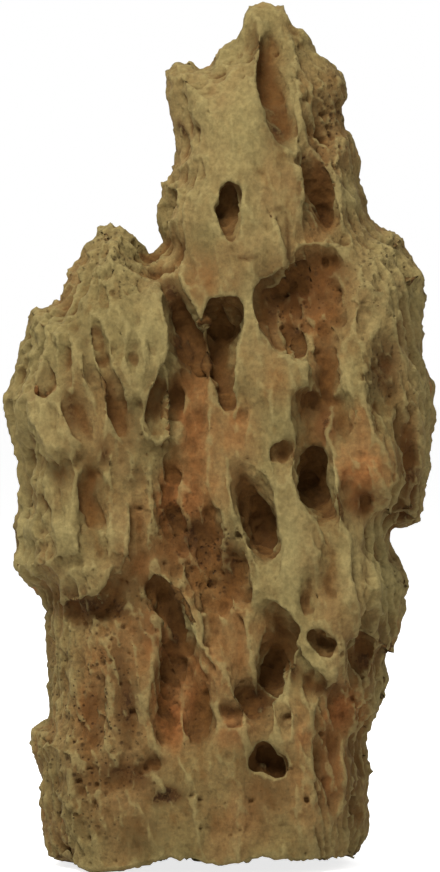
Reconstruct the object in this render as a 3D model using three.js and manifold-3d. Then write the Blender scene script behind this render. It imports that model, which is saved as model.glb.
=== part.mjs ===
// A dragon stone: one upright piece of weathered clay stone, as used to dress an aquarium.
//
// The stone is one solid. Upright masses, each lofted through rounded sections, are fused into
// its body. Swellings and dips shape the body's faces, and the hollows that water has eaten
// into them are cut out last.
// Millimetres, +Z up, the front faces -Y, and the origin is under the middle of the stone,
// on the surface that it stands on.
import * as THREE from "three";
import { mergeVertices } from "three/addons/utils/BufferGeometryUtils.js";
import { ImprovedNoise } from "three/addons/math/ImprovedNoise.js";
import Module from "manifold-3d";

// Driving dimensions.
const HEIGHT = 250; // from the standing surface to the crown
const WIDTH = 126; // from the shoulder to the flank
const DEPTH = 84; // from the front of the foot to the back
const SQUARENESS = 2.5; // exponent of the rounded sections: 2 is an ellipse, more is boxier
const LEVEL_STEP = 5.2; // height between two sections of a loft
const FLUTE_DEPTH = 6; // how deep the long flutes down the faces are
const FLUTE_WIDTH = 22; // their spacing round the stone
const FLUTE_LENGTH = 62; // their length down it
const FLUTE_LEAN = 0.25; // how far they swing sideways for each millimetre down
const HOLLOW_SIDES = 8; // facets around a hollow
const HOLLOW_RINGS = 6; // facets from one end of it to the other
const FRONT = -1;
const BACK = 1;
const STONE_COLOUR = 0x8a7a55;
const STONE_ROUGHNESS = 0.9;

// Each mass has four edges, and each edge is a list of [height, position] pairs from the
// bottom to the top: left and right along X, front and back along Y.
const MASSES = {
  core: {
    sides: 54,
    left: [
      [0, -44], [8, -51.5], [20, -53.3], [36, -55], [42, -50.8], [58, -49.8], [70, -51],
      [77, -52.4], [82, -58], [88, -59.8], [98, -60], [110, -58.6], [120, -58], [134, -52],
      [150, -40], [165, -28], [178, -18],
      [188, -19.4], [197, -18], [201, -14.4], [214, -14.1], [228, -16.8], [233, -11],
      [235, -2.5], [240, 4.5], [247, 6], [250, 10],
    ],
    right: [
      [0, 37], [7, 42.5], [22, 44.8], [34, 43.3], [46, 48.3], [59, 49], [68, 52.5], [80, 54.8],
      [92, 50.6], [97, 50.3], [99, 57.8], [110, 60], [120, 62], [134, 62.8], [148, 60],
      [158, 59], [166, 59.6], [173, 58], [180, 54], [184, 47.5], [190, 43.6], [200, 40.9],
      [208, 40], [216, 36.2], [227, 36.6], [237, 27.6], [244, 22], [250, 16],
    ],
    front: [
      [0, -34], [6, -38], [30, -38], [60, -34], [84, -37], [110, -36], [140, -35], [165, -32],
      [185, -29], [205, -25], [225, -20], [240, -14], [250, -8],
    ],
    back: [
      [0, 33], [6, 38], [30, 40], [70, 38], [110, 35], [150, 30], [185, 24], [215, 18],
      [235, 12], [250, 5],
    ],
  },
  shoulder: {
    sides: 24,
    left: [
      [100, -50], [108, -56], [118, -59.5], [126, -61.5], [135, -63.1], [143, -60.3],
      [151, -57.2], [160, -54.8], [164, -47], [171, -44.6], [178, -40.5], [184, -36], [187, -31],
    ],
    right: [
      [100, -34], [112, -24], [135, -17], [160, -15.2], [172, -18], [181, -23.4], [187, -28],
    ],
    front: [
      [100, -24], [107, -36], [120, -40], [140, -40], [154, -38], [167, -31], [179, -20],
      [187, -8],
    ],
    back: [
      [100, -6], [120, 11], [145, 14], [165, 13], [178, 8], [187, 0],
    ],
  },
  foot: {
    sides: 18,
    left: [[0, -44], [4, -49], [12, -51.6], [40, -50.8], [66, -49], [78, -44]],
    right: [[0, -28], [4, -22], [20, -18], [50, -19], [70, -22], [78, -30]],
    front: [[0, -38], [4, -42], [14, -43.5], [35, -42], [60, -38], [78, -24]],
    back: [[0, -6], [10, 0], [60, 0], [78, -6]],
  },
};

// Relief and hollows are [x, height of the middle, width, length, reach, lean]. Reach is how far
// a swelling stands out of the face (less than 0 for a dip), or how deep a hollow is cut. Lean is
// in degrees, and swings the lower end to the right of somebody facing that side: the water ran
// down at a slant, so most of the stone leans the same way.
const FRONT_RELIEF = {
  tower_plate: [3, 200, 44, 84, 4, 6],
  right_block: [40, 186, 20, 50, 5, 8],
  left_cleft: [-14, 160, 18, 44, -7, 10],
  bowl: [26, 164, 38, 40, -8, 0],
  brow: [30, 139, 36, 13, 7, 6],
  tongue: [13, 144, 24, 58, 8, 14],
  pale_ridge: [21, 100, 20, 84, 8, 14],
  pale_plate: [37, 82, 32, 62, 8, 6],
  shelf: [38, 56, 34, 24, -7, 0],
  flank_step: [41, 112, 30, 60, -8, 0],
  flank_strip: [57, 124, 12, 60, 4, 0],
  centre_field: [-6, 120, 30, 74, -10, 8],
  shoulder_recess: [-40, 110, 36, 22, -8, 10],
  shoulder_ledge: [-38, 89, 42, 26, 6, 0],
  under_ledge: [-36, 71, 34, 14, -6, 0],
  diagonal_dip: [-17, 70, 16, 40, -7, 24],
  crest: [-4, 64, 14, 50, 9, 26],
  red_bowl: [-12, 44, 24, 36, -8, 0],
  round_lump: [4, 37, 16, 16, 7, 0],
  fan: [20, 42, 18, 26, 6, 8],
  rust_bowl: [35, 34, 20, 46, -6, 4],
  skirt: [12, 12, 76, 30, 4, 0],
};
const BACK_RELIEF = {
  tower_spine: [8, 206, 26, 84, 6, -8],
  high_scoop: [-6, 214, 16, 40, -7, 10],
  left_ridge: [-26, 160, 18, 70, 6, 8],
  left_trough: [-40, 158, 18, 60, -7, 6],
  long_trough: [-10, 146, 20, 64, -9, 12],
  middle_ridge: [8, 120, 18, 100, 8, 14],
  right_bowl: [22, 142, 20, 50, -8, 8],
  right_ridge: [37, 128, 18, 70, 6, 6],
  wide_bowl: [-28, 92, 30, 50, -9, 10],
  low_trough: [30, 80, 20, 56, -8, 4],
  low_ridge: [-2, 50, 20, 80, 7, 6],
  foot_bowl: [-22, 36, 26, 44, -8, 6],
  heel_bowl: [36, 30, 18, 34, -6, 0],
  left_heel: [-40, 46, 16, 70, 5, 0],
};
const FRONT_HOLLOWS = {
  crown_gouge: [15.8, 227, 9, 38, 8, 12],
  tower_eye: [2.2, 192, 7, 11, 8, 0],
  tower_eye_tail: [2.6, 186, 4.5, 9, 6, 10],
  tower_slot: [29.5, 192, 7, 24, 11, 8],
  cave: [26, 166, 23, 25, 9, 0],
  cave_drain: [29, 146, 8, 26, 9, -6],
  throat: [0.5, 153, 9, 25, 14, 8],
  left_channel: [-10.5, 157, 7, 26, 11, 22],
  shoulder_pit: [-40.8, 132, 8.5, 17, 7, 12],
  shoulder_scoop: [-19, 134, 9, 18, 8, 0],
  shoulder_cleft: [-34, 110, 9, 20, 6, -8],
  long_pit: [10, 103, 10, 29, 13, 20],
  black_pit: [27.2, 111.5, 9, 19, 15, 10],
  brow_recess: [27, 128, 12, 12, 7, 0],
  flank_groove: [52.6, 117, 7, 32, 6, 0],
  plate_valley: [31, 86, 7.5, 30, 5, 6],
  centre_hollow: [-5, 90, 12, 15, 6, 0],
  diagonal_hollow: [-16, 70, 8, 27, 9, 24],
  red_pit: [-11, 43, 12, 22, 6, 0],
  black_hole: [15.4, 56, 7.5, 15, 12, -20],
  round_hole: [28.5, 66, 6, 7, 10, 0],
  shelf_recess: [41, 61, 12, 13, 6, 0],
  corner_hole: [13.6, 29, 11, 8, 12, 0],
  slit: [-17, 20, 9, 4.5, 6, 0],
};
const BACK_HOLLOWS = {
  high_pit: [22, 190, 9, 22, 9, 8],
  spine_pit: [-3, 176, 8, 20, 8, 10],
  shoulder_bowl: [46, 132, 12, 34, 7, 0],
  mid_pit: [-5, 98, 9, 20, 11, 14],
  ridge_pit: [22, 108, 9, 24, 9, 4],
  foot_pit: [12, 54, 10, 20, 9, 0],
};
// Arches under the stone are [x, y, width, depth, rise]: it stands on what is between them.
const ARCHES = {
  front_left: [-17, -30, 15, 50, 3.4],
  front_right: [13, -34, 14, 22, 2.4],
  rear: [2, 34, 26, 34, 3],
};
const ARCH_SIDES = 12;
const ARCH_RINGS = 6;

const noise = new ImprovedNoise();

// An edge's position at one height.
function edgeAt(edge, z) {
  const heights = edge.map(([height]) => height);
  const places = edge.map(([, place]) => place);
  const inside = THREE.MathUtils.clamp(z, heights[0], heights.at(-1));
  return new THREE.LinearInterpolant(heights, places, 1).evaluate(inside)[0];
}

// The section of a mass at one height: its middle and its reach to each side.
function sectionAt(mass, z) {
  const [left, right, front, back] = ["left", "right", "front", "back"].map((side) =>
    edgeAt(mass[side], z),
  );
  const x = (left + right) / 2;
  const y = (front + back) / 2;
  return { x, y, halfWidth: right - x, halfDepth: back - y };
}

// How far the long flutes sink a point of a face: 0 on their crests.
function fluteAt(x, y, z) {
  const swing = x + FLUTE_LEAN * z;
  const wave = noise.noise(swing / FLUTE_WIDTH, y / FLUTE_WIDTH, z / FLUTE_LENGTH);
  return FLUTE_DEPTH * Math.abs(wave);
}

// How far the swellings and dips of one side move the face at (x, z): outwards is positive.
function reliefAt(x, z, side) {
  const table = side === FRONT ? FRONT_RELIEF : BACK_RELIEF;
  return Object.values(table).reduce((sum, [middle, height, width, length, reach, lean]) => {
    const offset = new THREE.Vector2(-side * (x - middle), z - height);
    offset.rotateAround(new THREE.Vector2(), THREE.MathUtils.degToRad(lean));
    const share = Math.hypot((2 * offset.x) / width, (2 * offset.y) / length);
    return sum + reach * Math.max(0, 1 - share ** 2);
  }, 0);
}

// One mass: a cylinder whose rings are drawn out to the sections, with relief on its faces.
function massGeometry(mass) {
  const bottom = mass.left[0][0];
  const top = mass.left.at(-1)[0];
  const levels = Math.round((top - bottom) / LEVEL_STEP);
  const geometry = new THREE.CylinderGeometry(1, 1, 1, mass.sides, levels);
  const power = 2 / SQUARENESS;
  const points = geometry.getAttribute("position");
  for (let i = 0; i < points.count; i++) {
    const z = THREE.MathUtils.lerp(bottom, top, points.getY(i) + 0.5);
    const section = sectionAt(mass, z);
    const across = points.getX(i);
    const along = points.getZ(i);
    const x = section.x + section.halfWidth * Math.sign(across) * Math.abs(across) ** power;
    const y = section.y + section.halfDepth * Math.sign(along) * Math.abs(along) ** power;
    const side = Math.sign(along);
    const moved = (reliefAt(x, z, side) - fluteAt(x, y, z)) * Math.abs(along);
    points.setXYZ(i, x, y + side * moved, z);
  }
  // The cylinder's own up axis became Z, which turns its faces inside out.
  const order = geometry.index.array;
  for (let i = 0; i < order.length; i += 3) {
    [order[i + 1], order[i + 2]] = [order[i + 2], order[i + 1]];
  }
  return geometry;
}

// How far the fused body reaches towards one side, FRONT or BACK, at (x, z).
function faceAt(x, z, side) {
  const reaches = Object.values(MASSES)
    .filter((mass) => z >= mass.left[0][0] && z <= mass.left.at(-1)[0])
    .map((mass) => {
      const section = sectionAt(mass, z);
      const share = Math.min(1, Math.abs((x - section.x) / section.halfWidth));
      return side * section.y + section.halfDepth * (1 - share ** SQUARENESS) ** (1 / SQUARENESS);
    });
  return side * (Math.max(...reaches) + reliefAt(x, z, side));
}

// One hollow: an ellipsoid whose middle lies in the face that it is cut into.
function hollowGeometry([x, z, width, length, reach, lean], side) {
  const geometry = new THREE.SphereGeometry(1, HOLLOW_SIDES, HOLLOW_RINGS);
  geometry.rotateX(Math.PI / 2);
  geometry.scale(width / 2, reach, length / 2);
  geometry.rotateY(side * THREE.MathUtils.degToRad(lean));
  geometry.translate(x, faceAt(x, z, side), z);
  return geometry;
}

// One arch: a low dome on the standing surface.
function archGeometry([x, y, width, depth, rise]) {
  const geometry = new THREE.SphereGeometry(1, ARCH_SIDES, ARCH_RINGS);
  geometry.rotateX(Math.PI / 2);
  geometry.scale(width / 2, depth / 2, rise);
  geometry.translate(x, y, 0);
  return geometry;
}

const wasm = await Module();
wasm.setup();

// A closed geometry as a solid that can be joined and cut.
function solid(geometry) {
  geometry.deleteAttribute("normal");
  geometry.deleteAttribute("uv");
  const merged = mergeVertices(geometry, 1e-4);
  return new wasm.Manifold(
    new wasm.Mesh({
      numProp: 3,
      vertProperties: merged.getAttribute("position").array,
      triVerts: new Uint32Array(merged.index.array),
    }),
  );
}

// The whole stone as one geometry, standing on z = 0 with the origin under its middle.
function stoneGeometry() {
  const masses = Object.values(MASSES).map((mass) => solid(massGeometry(mass)));
  const eaten = [
    ...Object.values(FRONT_HOLLOWS).map((hollow) => solid(hollowGeometry(hollow, FRONT))),
    ...Object.values(BACK_HOLLOWS).map((hollow) => solid(hollowGeometry(hollow, BACK))),
    ...Object.values(ARCHES).map((arch) => solid(archGeometry(arch))),
  ];
  const body = masses.reduce((whole, mass) => whole.add(mass));
  const stone = eaten.reduce((whole, piece) => whole.subtract(piece), body);
  const { vertProperties, triVerts } = stone.getMesh();
  const geometry = new THREE.BufferGeometry();
  geometry.setAttribute("position", new THREE.BufferAttribute(vertProperties, 3));
  geometry.setIndex(new THREE.BufferAttribute(triVerts, 1));
  geometry.computeBoundingBox();
  const { min, max } = geometry.boundingBox;
  const size = new THREE.Vector3().subVectors(max, min);
  geometry.translate(-(min.x + max.x) / 2, -(min.y + max.y) / 2, -min.z);
  geometry.scale(WIDTH / size.x, DEPTH / size.y, HEIGHT / size.z);
  return geometry;
}

const stone = new THREE.Mesh(
  stoneGeometry(),
  new THREE.MeshStandardMaterial({
    color: STONE_COLOUR,
    roughness: STONE_ROUGHNESS,
    metalness: 0,
    flatShading: true,
  }),
);
stone.name = "stone";

const root = new THREE.Group();
root.add(stone);
export default root;
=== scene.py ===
"""A weathered dragon stone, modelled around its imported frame.

The stone is one piece. Its front and its back are two relief maps, drawn on an outline that
swells into a body, and the body is meshed, roughened in three dimensions and dressed with one
procedural finish. Lengths are millimetres in the maker's own frame, which matches the packed
stone: x to the right, y to the back, z up, and z = 0 where the stone stands.
"""
import logging
import math
from dataclasses import dataclass, field, replace
from enum import Enum
from typing import Iterator, NamedTuple

import bpy
import numpy as np
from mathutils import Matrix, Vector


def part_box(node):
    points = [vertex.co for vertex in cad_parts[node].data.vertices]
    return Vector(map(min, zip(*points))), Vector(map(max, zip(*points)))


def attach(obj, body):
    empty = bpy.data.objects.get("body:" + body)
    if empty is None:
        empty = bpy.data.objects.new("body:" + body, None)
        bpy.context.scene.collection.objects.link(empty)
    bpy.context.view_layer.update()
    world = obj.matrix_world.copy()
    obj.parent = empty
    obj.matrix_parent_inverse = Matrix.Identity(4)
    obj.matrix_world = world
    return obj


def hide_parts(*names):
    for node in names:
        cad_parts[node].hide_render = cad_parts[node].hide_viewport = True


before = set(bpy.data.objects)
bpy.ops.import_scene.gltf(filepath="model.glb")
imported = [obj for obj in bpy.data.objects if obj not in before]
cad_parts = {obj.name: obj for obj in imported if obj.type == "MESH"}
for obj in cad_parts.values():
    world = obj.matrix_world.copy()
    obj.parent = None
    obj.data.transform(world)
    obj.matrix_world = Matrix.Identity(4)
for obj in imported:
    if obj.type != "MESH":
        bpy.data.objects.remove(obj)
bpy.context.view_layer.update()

import openvdb
from mathutils import Vector

MM = 0.001
Array = np.ndarray
log = logging.getLogger("dragon_stone")

# Where the camera stands: how far from the stone's middle, how many degrees it looks down, and
# the height of the point that it looks at.
EYE_DISTANCE = 2200.0
EYE_TILT = 1.5
MIDDLE_HEIGHT = 124.1

# The stone's grain runs up it and leans aside by this much for each millimetre of height.
GRAIN_LEAN = 0.22

# Each layer of noise is this much finer than the last, and moved on by this much.
FINER = 2.03
MOVED_ON = 17.3

# Scoops come in three sizes, each with how fine it is and its share of the cut.
SCOOP_SIZES = ((1.0, 1.0), (2.1, 0.5), (4.3, 0.22))
SCOOP_GAIN = 2.2

# How soon a patch fades around its middle, and how suddenly.
PATCH_FADE = 0.8
PATCH_EDGE = 1.5

# How hard the skin between guides pulls across the stone, and up and down it, as its grain does.
PULL_ACROSS, PULL_UP = 0.12, 0.38


# ---- Noise ----


@dataclass(frozen=True)
class Noise:
    """Repeatable noise in three dimensions, on a lattice of whole numbers."""

    seed: int

    def _draw(self, *cell: Array) -> tuple[Array, Array, Array]:
        """Draw three random numbers for each cell.

        Args:
            cell: The cells' x, y and z, as whole numbers.

        Returns:
            Three arrays of numbers from 0 to 1.
        """
        x, y, z = cell
        mixed = (x * 374761393 + y * 668265263 + z * 1442695041 + self.seed * 97531) & 0xFFFFFFFF
        mixed = mixed.astype(np.uint32)
        mixed = (mixed ^ (mixed >> np.uint32(13))) * np.uint32(1274126177)
        mixed = (mixed ^ (mixed >> np.uint32(16))) * np.uint32(2246822519)
        mixed = mixed ^ (mixed >> np.uint32(15))
        bits = np.uint32(1023)
        share = np.float32(1 / 1023)
        return tuple(((mixed >> np.uint32(shift)) & bits).astype(np.float32) * share
                     for shift in (0, 10, 20))

    def wave(self, *place: Array) -> Array:
        """Smooth noise, one swell for each unit of length.

        Args:
            place: The places' x, y and z.

        Returns:
            Numbers mostly from -0.7 to 0.7, with a mean of 0.
        """
        cells = [np.floor(axis).astype(np.int64) for axis in place]
        parts = [(axis - cell).astype(np.float32) for axis, cell in zip(place, cells)]
        fades = [part * part * part * (part * (part * 6 - 15) + 10) for part in parts]
        total = np.zeros(parts[0].shape, np.float32)
        for corner in np.ndindex(2, 2, 2):
            slopes = self._draw(*(cell + step for cell, step in zip(cells, corner)))
            lean = sum((slope * 2 - 1) * (part - step)
                       for slope, part, step in zip(slopes, parts, corner))
            weight = math.prod(fade if step else 1 - fade for fade, step in zip(fades, corner))
            total += lean * weight
        return total

    def layers(self, x: Array, y: Array, z: Array, count: int) -> Array:
        """Noise in layers, each half as strong as the last and about twice as fine.

        Args:
            x: Places across.
            y: Places in depth.
            z: Places in height.
            count: How many layers.

        Returns:
            Numbers mostly from -1 to 1.
        """
        total = np.zeros(np.broadcast(x, y, z).shape, np.float32)
        strength, fine = 1.0, 1.0
        for layer in range(count):
            drift = MOVED_ON * layer
            total += strength * self.wave(x * fine + drift, y * fine - drift, z * fine + drift)
            strength *= 0.5
            fine *= FINER
        return total

    def cells(self, *place: Array) -> tuple[Array, Array]:
        """Split space into cells around scattered seeds, about one in each unit cube.

        Args:
            place: The places' x, y and z.

        Returns:
            The distance to the nearest seed, and a random number that belongs to that seed.
        """
        base = [np.floor(axis).astype(np.int64) for axis in place]
        nearest = np.full(base[0].shape, 9.0, np.float32)
        owner = np.zeros(base[0].shape, np.float32)
        for step in np.ndindex(3, 3, 3):
            cell = [corner + shift - 1 for corner, shift in zip(base, step)]
            seeds = self._draw(*cell)
            gap = sum((corner + seed - axis) ** 2
                      for corner, seed, axis in zip(cell, seeds, place))
            gap = np.sqrt(gap).astype(np.float32)
            closer = gap < nearest
            owner = np.where(closer, (seeds[0] * 7.13 + seeds[1] * 3.71) % 1.0, owner)
            nearest = np.where(closer, gap, nearest)
        return nearest, owner


@dataclass(frozen=True)
class Swells:
    """Soft swells: how high they rise, how far apart they are, and which noise they follow."""

    rise: float
    across: float
    up: float
    count: int = 4
    start: float = 0.0
    seed: int = 11

    def at(self, x: Array, y: Array, z: Array) -> Array:
        """Find how high the swells stand at each place, with a mean of 0."""
        return self.rise * Noise(self.seed).layers(
            x / self.across, y / self.across + self.start, z / self.up, self.count)


@dataclass(frozen=True)
class Scoops:
    """Long irregular scoops side by side, with sharp crests between them."""

    cut: float
    width: float
    length: float
    seed: int

    def at(self, x: Array, y: Array, z: Array, amount: Array | float = 1.0) -> Array:
        """Find how deep the scoops are.

        Args:
            x: Places across.
            y: Places in depth.
            z: Places in height.
            amount: How much of the full cut is made, at each place or everywhere.

        Returns:
            The depth at each place, from 0 on the crests to about the cut.
        """
        swing_x, swing_y = x + GRAIN_LEAN * z, y + GRAIN_LEAN * z
        total = np.zeros(x.shape, np.float32)
        for order, (fine, share) in enumerate(SCOOP_SIZES):
            around, up = fine / self.width, fine**0.8 / self.length
            noise = Noise(self.seed + order)
            total += share * np.abs(noise.wave(swing_x * around, swing_y * around, z * up))
        return amount * self.cut * (total * SCOOP_GAIN)


@dataclass(frozen=True)
class Pinholes:
    """Round holes of one size, scattered where the stone is porous."""

    spacing: float
    radius: float
    cut: float
    chance: float
    seed: int

    def at(self, porous: Array, *place: Array) -> Array:
        """Find how deep the holes are.

        Args:
            porous: How porous the stone is at each place, from 0 to 1.
            place: The places' x, y and z.

        Returns:
            The depth at each place, which is 0 between the holes.
        """
        nearest, owner = Noise(self.seed).cells(*(axis / self.spacing for axis in place))
        bowl = smooth_step(1.0, 0.2, nearest * self.spacing / self.radius)
        return self.cut * bowl * (owner < self.chance * porous)


# ---- Relief ----


def smooth_step(low: float, high: float, value: Array) -> Array:
    """Rise smoothly from 0 at one value to 1 at another.

    Args:
        low: Where the rise starts.
        high: Where it ends.
        value: The values to judge.

    Returns:
        Shares from 0 to 1.
    """
    share = np.clip((value - low) / (high - low), 0, 1)
    return share * share * (3 - 2 * share)


def blend(least: float, share: Array) -> Array:
    """Go from a least value, where a share is 0, to 1, where it is 1."""
    return least + (1 - least) * share


def runs(x: Array, z: Array, stations: tuple) -> Iterator[tuple[tuple, tuple, Array, Array]]:
    """Measure places against each straight run from one station to the next.

    Args:
        x: Places across.
        z: Places in height.
        stations: The stations, whose first two numbers are their x and z.

    Yields:
        Both ends of the run, how far along it the nearest point of it is, from 0 to 1, and the
        gap to that point.
    """
    ends = stations if len(stations) > 1 else stations * 2
    for start, end in zip(ends, ends[1:]):
        run_x, run_z = end[0] - start[0], end[1] - start[1]
        length = max(run_x**2 + run_z**2, 1e-6)
        share = np.clip(((x - start[0]) * run_x + (z - start[1]) * run_z) / length, 0, 1)
        gap = np.hypot(x - start[0] - share * run_x, z - start[1] - share * run_z)
        yield start, end, share, gap


def polygon_gap(x: Array, z: Array, corners: tuple[tuple[float, float], ...]) -> Array:
    """Measure the distance to the sides of a polygon.

    Args:
        x: Places across.
        z: Places in height.
        corners: The x and z of the corners, in order.

    Returns:
        The distance, which is positive inside.
    """
    nearest = np.full(x.shape, np.inf, np.float32)
    inside = np.zeros(x.shape, bool)
    for start, end, _, gap in runs(x, z, corners + corners[:1]):
        nearest = np.minimum(nearest, gap)
        spans = (start[1] > z) != (end[1] > z)
        turn = (x - start[0]) * (end[1] - start[1]) - (z - start[1]) * (end[0] - start[0])
        inside ^= spans & (turn < 0 if end[1] > start[1] else turn > 0)
    return np.where(inside, nearest, -nearest)


class Edge(Enum):
    """The section of a hollow: how pointed its floor is, and how its sides fall.

    With a first number of 1 the floor comes to an edge, and with 2 it is round. The second
    number is small for steep sides and large for sides that run out gently. The third is the
    least that half the width may be, as a share of the depth.
    """

    SHEER = (2.0, 0.75, 0.3)
    CRISP = (1.7, 1.0, 0.5)
    CREASE = (1.0, 1.0, 0.3)


@dataclass(frozen=True)
class Stroke:
    """A hollow that follows a short bent line down the stone.

    Each station is x, z, half the width and the depth.
    """

    edge: Edge
    stations: tuple[tuple[float, float, float, float], ...]

    def depth(self, x: Array, z: Array) -> Array:
        """Find how deep the stroke is at each place.

        Args:
            x: Places across.
            z: Places in height.

        Returns:
            The depth, which is 0 outside the stroke.
        """
        best = np.zeros(x.shape, np.float32)
        point, fall, least = self.edge.value
        for start, end, share, gap in runs(x, z, self.stations):
            depth = start[3] + share * (end[3] - start[3])
            width = np.maximum(start[2] + share * (end[2] - start[2]), least * depth)
            inside = 1 - np.minimum(gap / width, 1) ** point
            best = np.maximum(best, depth * inside**fall)
        return best


@dataclass(frozen=True)
class Guide:
    """A line on the face whose level is known, such as a crest or the floor of a hollow.

    Each station is x, z and the level there, and the guide holds the face at that level for
    half its width on either side.
    """

    half_width: float
    stations: tuple[tuple[float, float, float], ...]

    def hold(self, x: Array, z: Array, levels: Array, closeness: Array) -> None:
        """Hold the face at the guide's level, except where another guide is closer.

        Args:
            x: Places across.
            z: Places in height.
            levels: The levels held so far, which are changed here.
            closeness: The gap to the closest guide, as a share of its half width, changed too.
        """
        for start, end, share, gap in runs(x, z, self.stations):
            gap = gap / self.half_width
            nearer = gap < np.minimum(closeness, 1)
            levels[nearer] = (start[2] + share * (end[2] - start[2]))[nearer]
            closeness[nearer] = gap[nearer]


@dataclass(frozen=True)
class Patch:
    """A soft-edged area with a trait of its own, whose top may lean some degrees to the left."""

    x: float
    z: float
    half_width: float
    half_height: float
    strength: float
    lean: float = 0.0

    def weight(self, x: Array, z: Array) -> Array:
        """Find the strength of the trait at each place.

        Args:
            x: Places across.
            z: Places in height.

        Returns:
            The strength, which fades to 0 around the patch.
        """
        swing = math.radians(self.lean)
        across = (x - self.x) * math.cos(swing) + (z - self.z) * math.sin(swing)
        down = (z - self.z) * math.cos(swing) - (x - self.x) * math.sin(swing)
        spread = (across / self.half_width) ** 2 + (down / self.half_height) ** 2
        return self.strength * np.exp(-PATCH_FADE * spread**PATCH_EDGE)


def guides(half_width: float, *lines: tuple[tuple[float, float, float], ...]) -> list[Guide]:
    """Make one guide of a given half width for each line of stations."""
    return [Guide(half_width, line) for line in lines]


def strokes(edge: Edge, *lines: tuple[tuple[float, float, float, float], ...]) -> list[Stroke]:
    """Make one stroke with a given edge for each line of stations."""
    return [Stroke(edge, line) for line in lines]


def areas(*rows: tuple[float, ...]) -> tuple[Patch, ...]:
    """Make one patch for each row of its values."""
    return tuple(Patch(*row) for row in rows)


def strongest(patches: tuple[Patch, ...], x: Array, z: Array) -> Array:
    """Find the strongest of several patches at each place.

    Args:
        patches: The patches.
        x: Places across.
        z: Places in height.

    Returns:
        The strength at each place.
    """
    level = np.zeros(x.shape, np.float32)
    for patch in patches:
        level = np.maximum(level, patch.weight(x, z))
    return level


def stretched(levels: Array, held: Array, rounds: int = 60) -> Array:
    """Stretch a skin over a map, between the places that are held at a level.

    Args:
        levels: The level of each place that is held.
        held: Which places are held.
        rounds: How often the skin is let settle, at each coarseness.

    Returns:
        The level of every place.
    """
    wide, tall = levels.shape
    if min(wide, tall) > 6:
        pad = ((0, wide % 2), (0, tall % 2))
        blocks = ((wide + 1) // 2, 2, (tall + 1) // 2, 2)
        counts = np.pad(held.astype(np.float32), pad).reshape(blocks).sum((1, 3))
        totals = np.pad(levels * held, pad).reshape(blocks).sum((1, 3))
        coarse = stretched(totals / np.maximum(counts, 1), counts > 0, rounds)
        skin = coarse.repeat(2, 0).repeat(2, 1)[:wide, :tall]
    else:
        skin = np.full(levels.shape, levels[held].mean())
    for _ in range(rounds):
        near = np.pad(skin, 1, "edge")
        skin = PULL_ACROSS * (near[:-2, 1:-1] + near[2:, 1:-1])
        skin = skin + PULL_UP * (near[1:-1, :-2] + near[1:-1, 2:])
        skin = np.where(held, levels, skin)
    return skin


@dataclass(frozen=True)
class Relief:
    """What shapes one side of the stone: guides with a skin between them, and pits in that."""

    guides: tuple[Guide, ...]
    pits: tuple[Stroke, ...]

    def height(self, x: Array, z: Array) -> Array:
        """Work the relief on a flat face.

        Args:
            x: Places across, on an even grid.
            z: Places in height.

        Returns:
            How far the worked face stands out of the flat one.
        """
        levels = np.zeros(x.shape, np.float32)
        closeness = np.full(x.shape, np.inf, np.float32)
        for guide in self.guides:
            guide.hold(x, z, levels, closeness)
        face = stretched(levels, closeness < 1)
        hollow = np.zeros(x.shape, np.float32)
        for pit in self.pits:
            hollow = np.maximum(hollow, pit.depth(x, z))
        return face - hollow


# ---- The stone's own form ----

# The outline that the front shows, clockwise from the left of the crown. It runs on below the
# ground, so that the body keeps its depth down to the plane that it stands on.
OUTLINE = (
    (6,248), (8,249.8), (13.5,250), (19,249.5), (22,244), (24.5,242.5), (27.3,239.5), (27,237.5),
    (31,233.5), (35,229.5), (36.6,227), (36.5,218), (37,214.5), (39.5,211), (40.6,205), (41,200),
    (42.5,191), (44,187.5), (46,185), (50,183.5), (53,181.5), (55,177), (58.8,171), (59.6,166),
    (58.8,162), (60,148), (62.5,138), (62.8,133), (62,122), (61,112), (59,102), (58,99), (50.3,97),
    (50.3,94), (53,87), (54.5,82), (54,74), (51.5,63), (51.3,60.5), (49,60.3), (48.5,48), (45,38),
    (43.2,35), (44.6,24), (43,10), (41,4), (41,-45), (-50,-45), (-50,4), (-51,6), (-53.2,20),
    (-52.8,25), (-55,35), (-54.5,39.5), (-50.6,42), (-49.8,56), (-51,68), (-51.8,77), (-58,83),
    (-59.9,87), (-59.3,92), (-60,97), (-58.6,108), (-58.5,116), (-61,125), (-63.3,135), (-60,143),
    (-57,153), (-55.3,160.5), (-46.5,163.5), (-44.5,171), (-43.3,175), (-37.5,182.5), (-35.5,185),
    (-31,186), (-27,185), (-21.5,179), (-20.3,177.5), (-17,180), (-19,186), (-17.7,194), (-18,198),
    (-14.5,200.3), (-13.8,208), (-15,218), (-16.8,229), (-13.5,233), (-4,233), (1.5,237.5),
    (4.5,239), (5.3,244),
)
# The underside along the front: x and how far the edge of the foot is off the ground.
UNDERSIDE = ((-52,3), (-37,0), (-28,0.4), (-13,3.3), (0,1.2), (12,3), (40,2.4))

# Half of the depth, to the front and to the back, as height and depth.
FRONT_DEPTH = (
    (0,38), (30,38), (70,35), (110,35), (140,33), (165,30), (190,27), (215,22), (235,15), (250,9),
)
BACK_DEPTH = ((0,38), (30,39), (70,36), (110,33), (150,29), (185,23), (215,17), (235,11), (250,6))

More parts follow.
